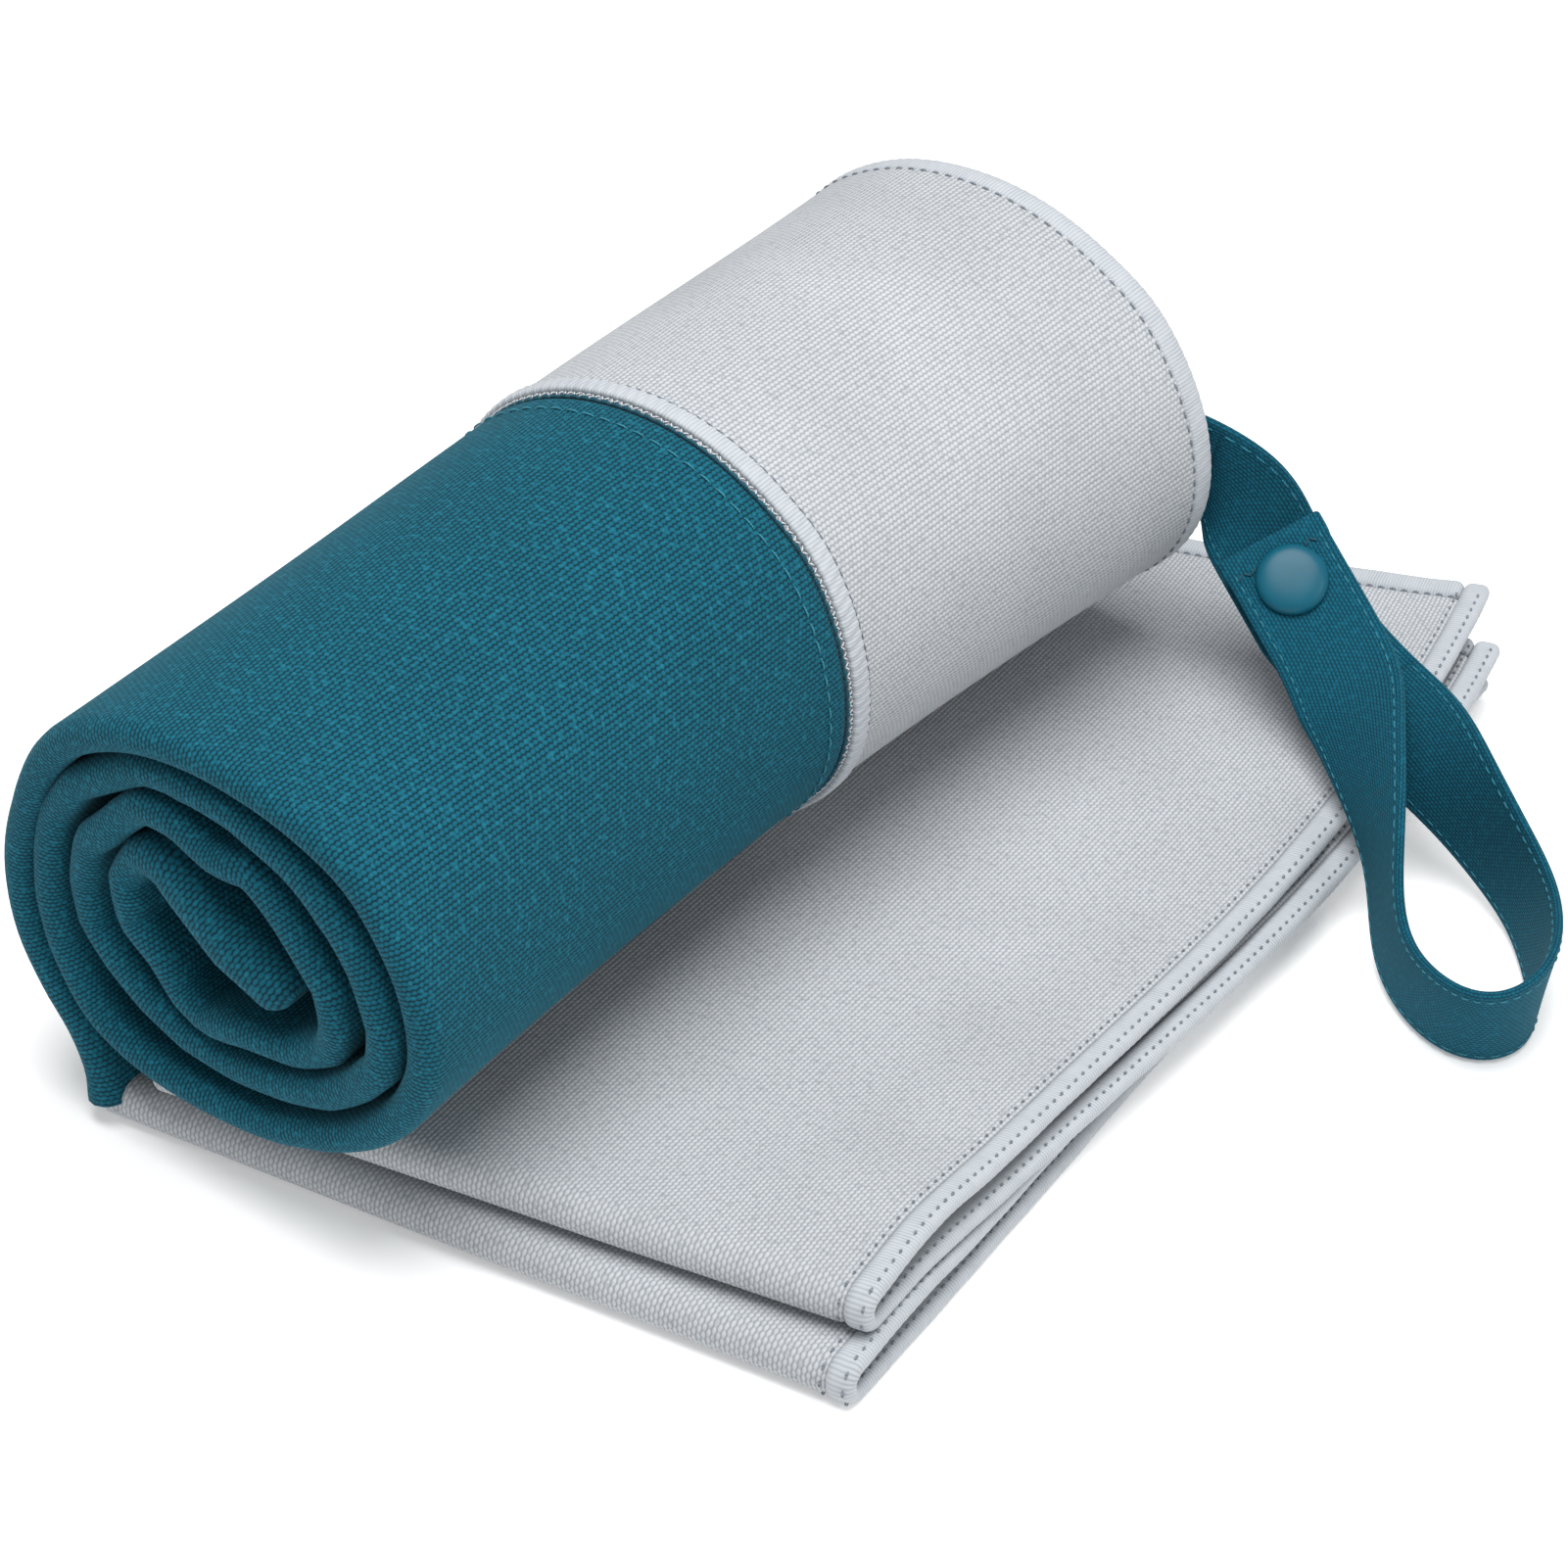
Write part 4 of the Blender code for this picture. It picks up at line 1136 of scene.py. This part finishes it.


# Each: name, from, to, bodies, the runs passed on for a bend that is not made, which ends are
# round, solids
SPANS = [("strap_root", 0.0, neck_run, ("towel", "strap_neck"), (swing_run - 3, swing_run + 5),
          (True, False), ("strap_anchor",)),
         ("strap_shoulder", neck_run, base_run, ("strap_neck", "strap"),
          (lift_run - 4, base_run - 0.2), (False, False), ("strap_neck",)),
         ("strap_base_tape", base_run, hidden_run, ("strap",), None, (False, False), ()),
         ("strap_loop_tape", hidden_run, strap_line.length, ("strap", "snap_tab"),
          (tab_run - 5, tab_run + 3), (False, True),
          ("strap_loop", "strap_tab", "strap_tab_hem"))]
for name, start, stop, bodies, ends, rounded, nodes in SPANS:
    tape = cloth(name, STRAP_CLOTH, strap_place, (start, stop), (-TAPE / 2, TAPE / 2),
                 tape_thick, run_gap=1.0, mark_gap=1.2, rounded=rounded, rows_along_run=True)
    carry(tape, bodies, ends)
    if nodes:
        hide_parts(*nodes)
    for face_name, face, way in (("near", strap_place, 1), ("away", strap_back, -1)):
        runs = way * row(start + 1.4, stop - 1.2, TOPSTITCH_GAP)
        for edge_name, mark in (("low", -TAPE / 2 + TOPSTITCH_INSET),
                                ("high", TAPE / 2 - TOPSTITCH_INSET)):
            stitched = stitches(f"{name}_{face_name}_{edge_name}_topstitch", TEAL_STITCH, face,
                                runs, mark, TAPE_THICK / 2, long=1.6, fat=0.27)
            carry(stitched, bodies, ends)
print("strap in", len(SPANS), "pieces")

# %% [markdown]
# ## Sewn ends of the strap
# The turned end of the tab is held with a short zigzag, and the strap's other end is held to the
# roll with a bartack, a dense bar of thread. Both are sewn on the side that the turned-over
# surface of the tape faces.
# %% Zigzag and bartack
ZIGZAG_IN, BARTACK_IN = 4.3, 3.0        # mm from the strap's two ends
zig_marks = row(-TAPE / 2 + 2.2, TAPE / 2 - 2.0, 1.25)
tab_zigzag = stitches("tab_zigzag", DEEP_STITCH_AND_GROOVE_SHADE, strap_back,
                      np.full(len(zig_marks), -(strap_line.length - ZIGZAG_IN)), zig_marks,
                      TAPE_THICK / 2 + 0.1, long=1.7, fat=0.45,
                      lean=np.where(np.arange(len(zig_marks)) % 2, 0.9, 2.2))
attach(tab_zigzag, "snap_tab")
bar = row(-TAPE / 2 + 1.5, TAPE / 2 - 1.5, 0.55)
bartack = stitches("anchor_bartack_thread", TEAL_STITCH, strap_back,
                   np.full(len(bar), -BARTACK_IN), bar, TAPE_THICK / 2, long=2.4, fat=0.5,
                   lean=0.25)
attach(bartack, "towel")
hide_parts("anchor_bartack")
print("zigzag of", len(zig_marks), "and bartack of", len(bar), "stitches")

# %% [markdown]
# ## The snap's cap
# The cap is a shallow round button with a short pin that goes down through the tab. It is turned
# from one outline, which gives its low crown and its soft shoulder, and it keeps the place of the
# solid that it stands for.
# %% The snap's cap
CAP_FOOT = 6.5              # heights are over the middle of the strap's base
PIN = 0.8
PIN_FOOT = 3.85
CAP_OUTLINE = [(0.0, 8.34), (1.2, 8.33), (2.4, 8.29), (3.5, 8.21), (4.4, 8.07), (5.0, 7.90),
               (5.45, 7.68), (5.8, 7.36), (6.02, 7.02), (6.08, 6.74), (5.95, 6.56),
               (5.6, CAP_FOOT), (PIN, CAP_FOOT), (PIN, PIN_FOOT), (0.0, PIN_FOOT)]
CAP_SIDES = 96


def turned_piece(name, outline, material):
    """A round piece about the snap's axis from its outline of radius and height."""
    turns = np.linspace(0, 2 * math.pi, CAP_SIDES, endpoint=False)
    rings = np.array([[at_snap(r * math.cos(a), h, r * math.sin(a)) for a in turns]
                      for r, h in outline[1:-1]])
    points = np.vstack([rings.reshape(-1, 3), [at_snap(0, outline[0][1])],
                        [at_snap(0, outline[-1][1])]])
    index, faces = skin_faces(rings.shape[:2])
    top, foot = len(points) - 2, len(points) - 1
    first, last = index[0].tolist(), index[-1].tolist()
    faces += [[top, a, b] for a, b in zip(first, first[1:] + first[:1])]
    faces += [[foot, b, a] for a, b in zip(last, last[1:] + last[:1])]
    return piece(name, points, faces, points, material)


cap = turned_piece("snap_cap_button", CAP_OUTLINE, SNAP_PLASTIC)
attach(cap, "snap_tab")
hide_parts("snap_cap")
print("cap", 2 * max(radius for radius, _ in CAP_OUTLINE), "mm across")
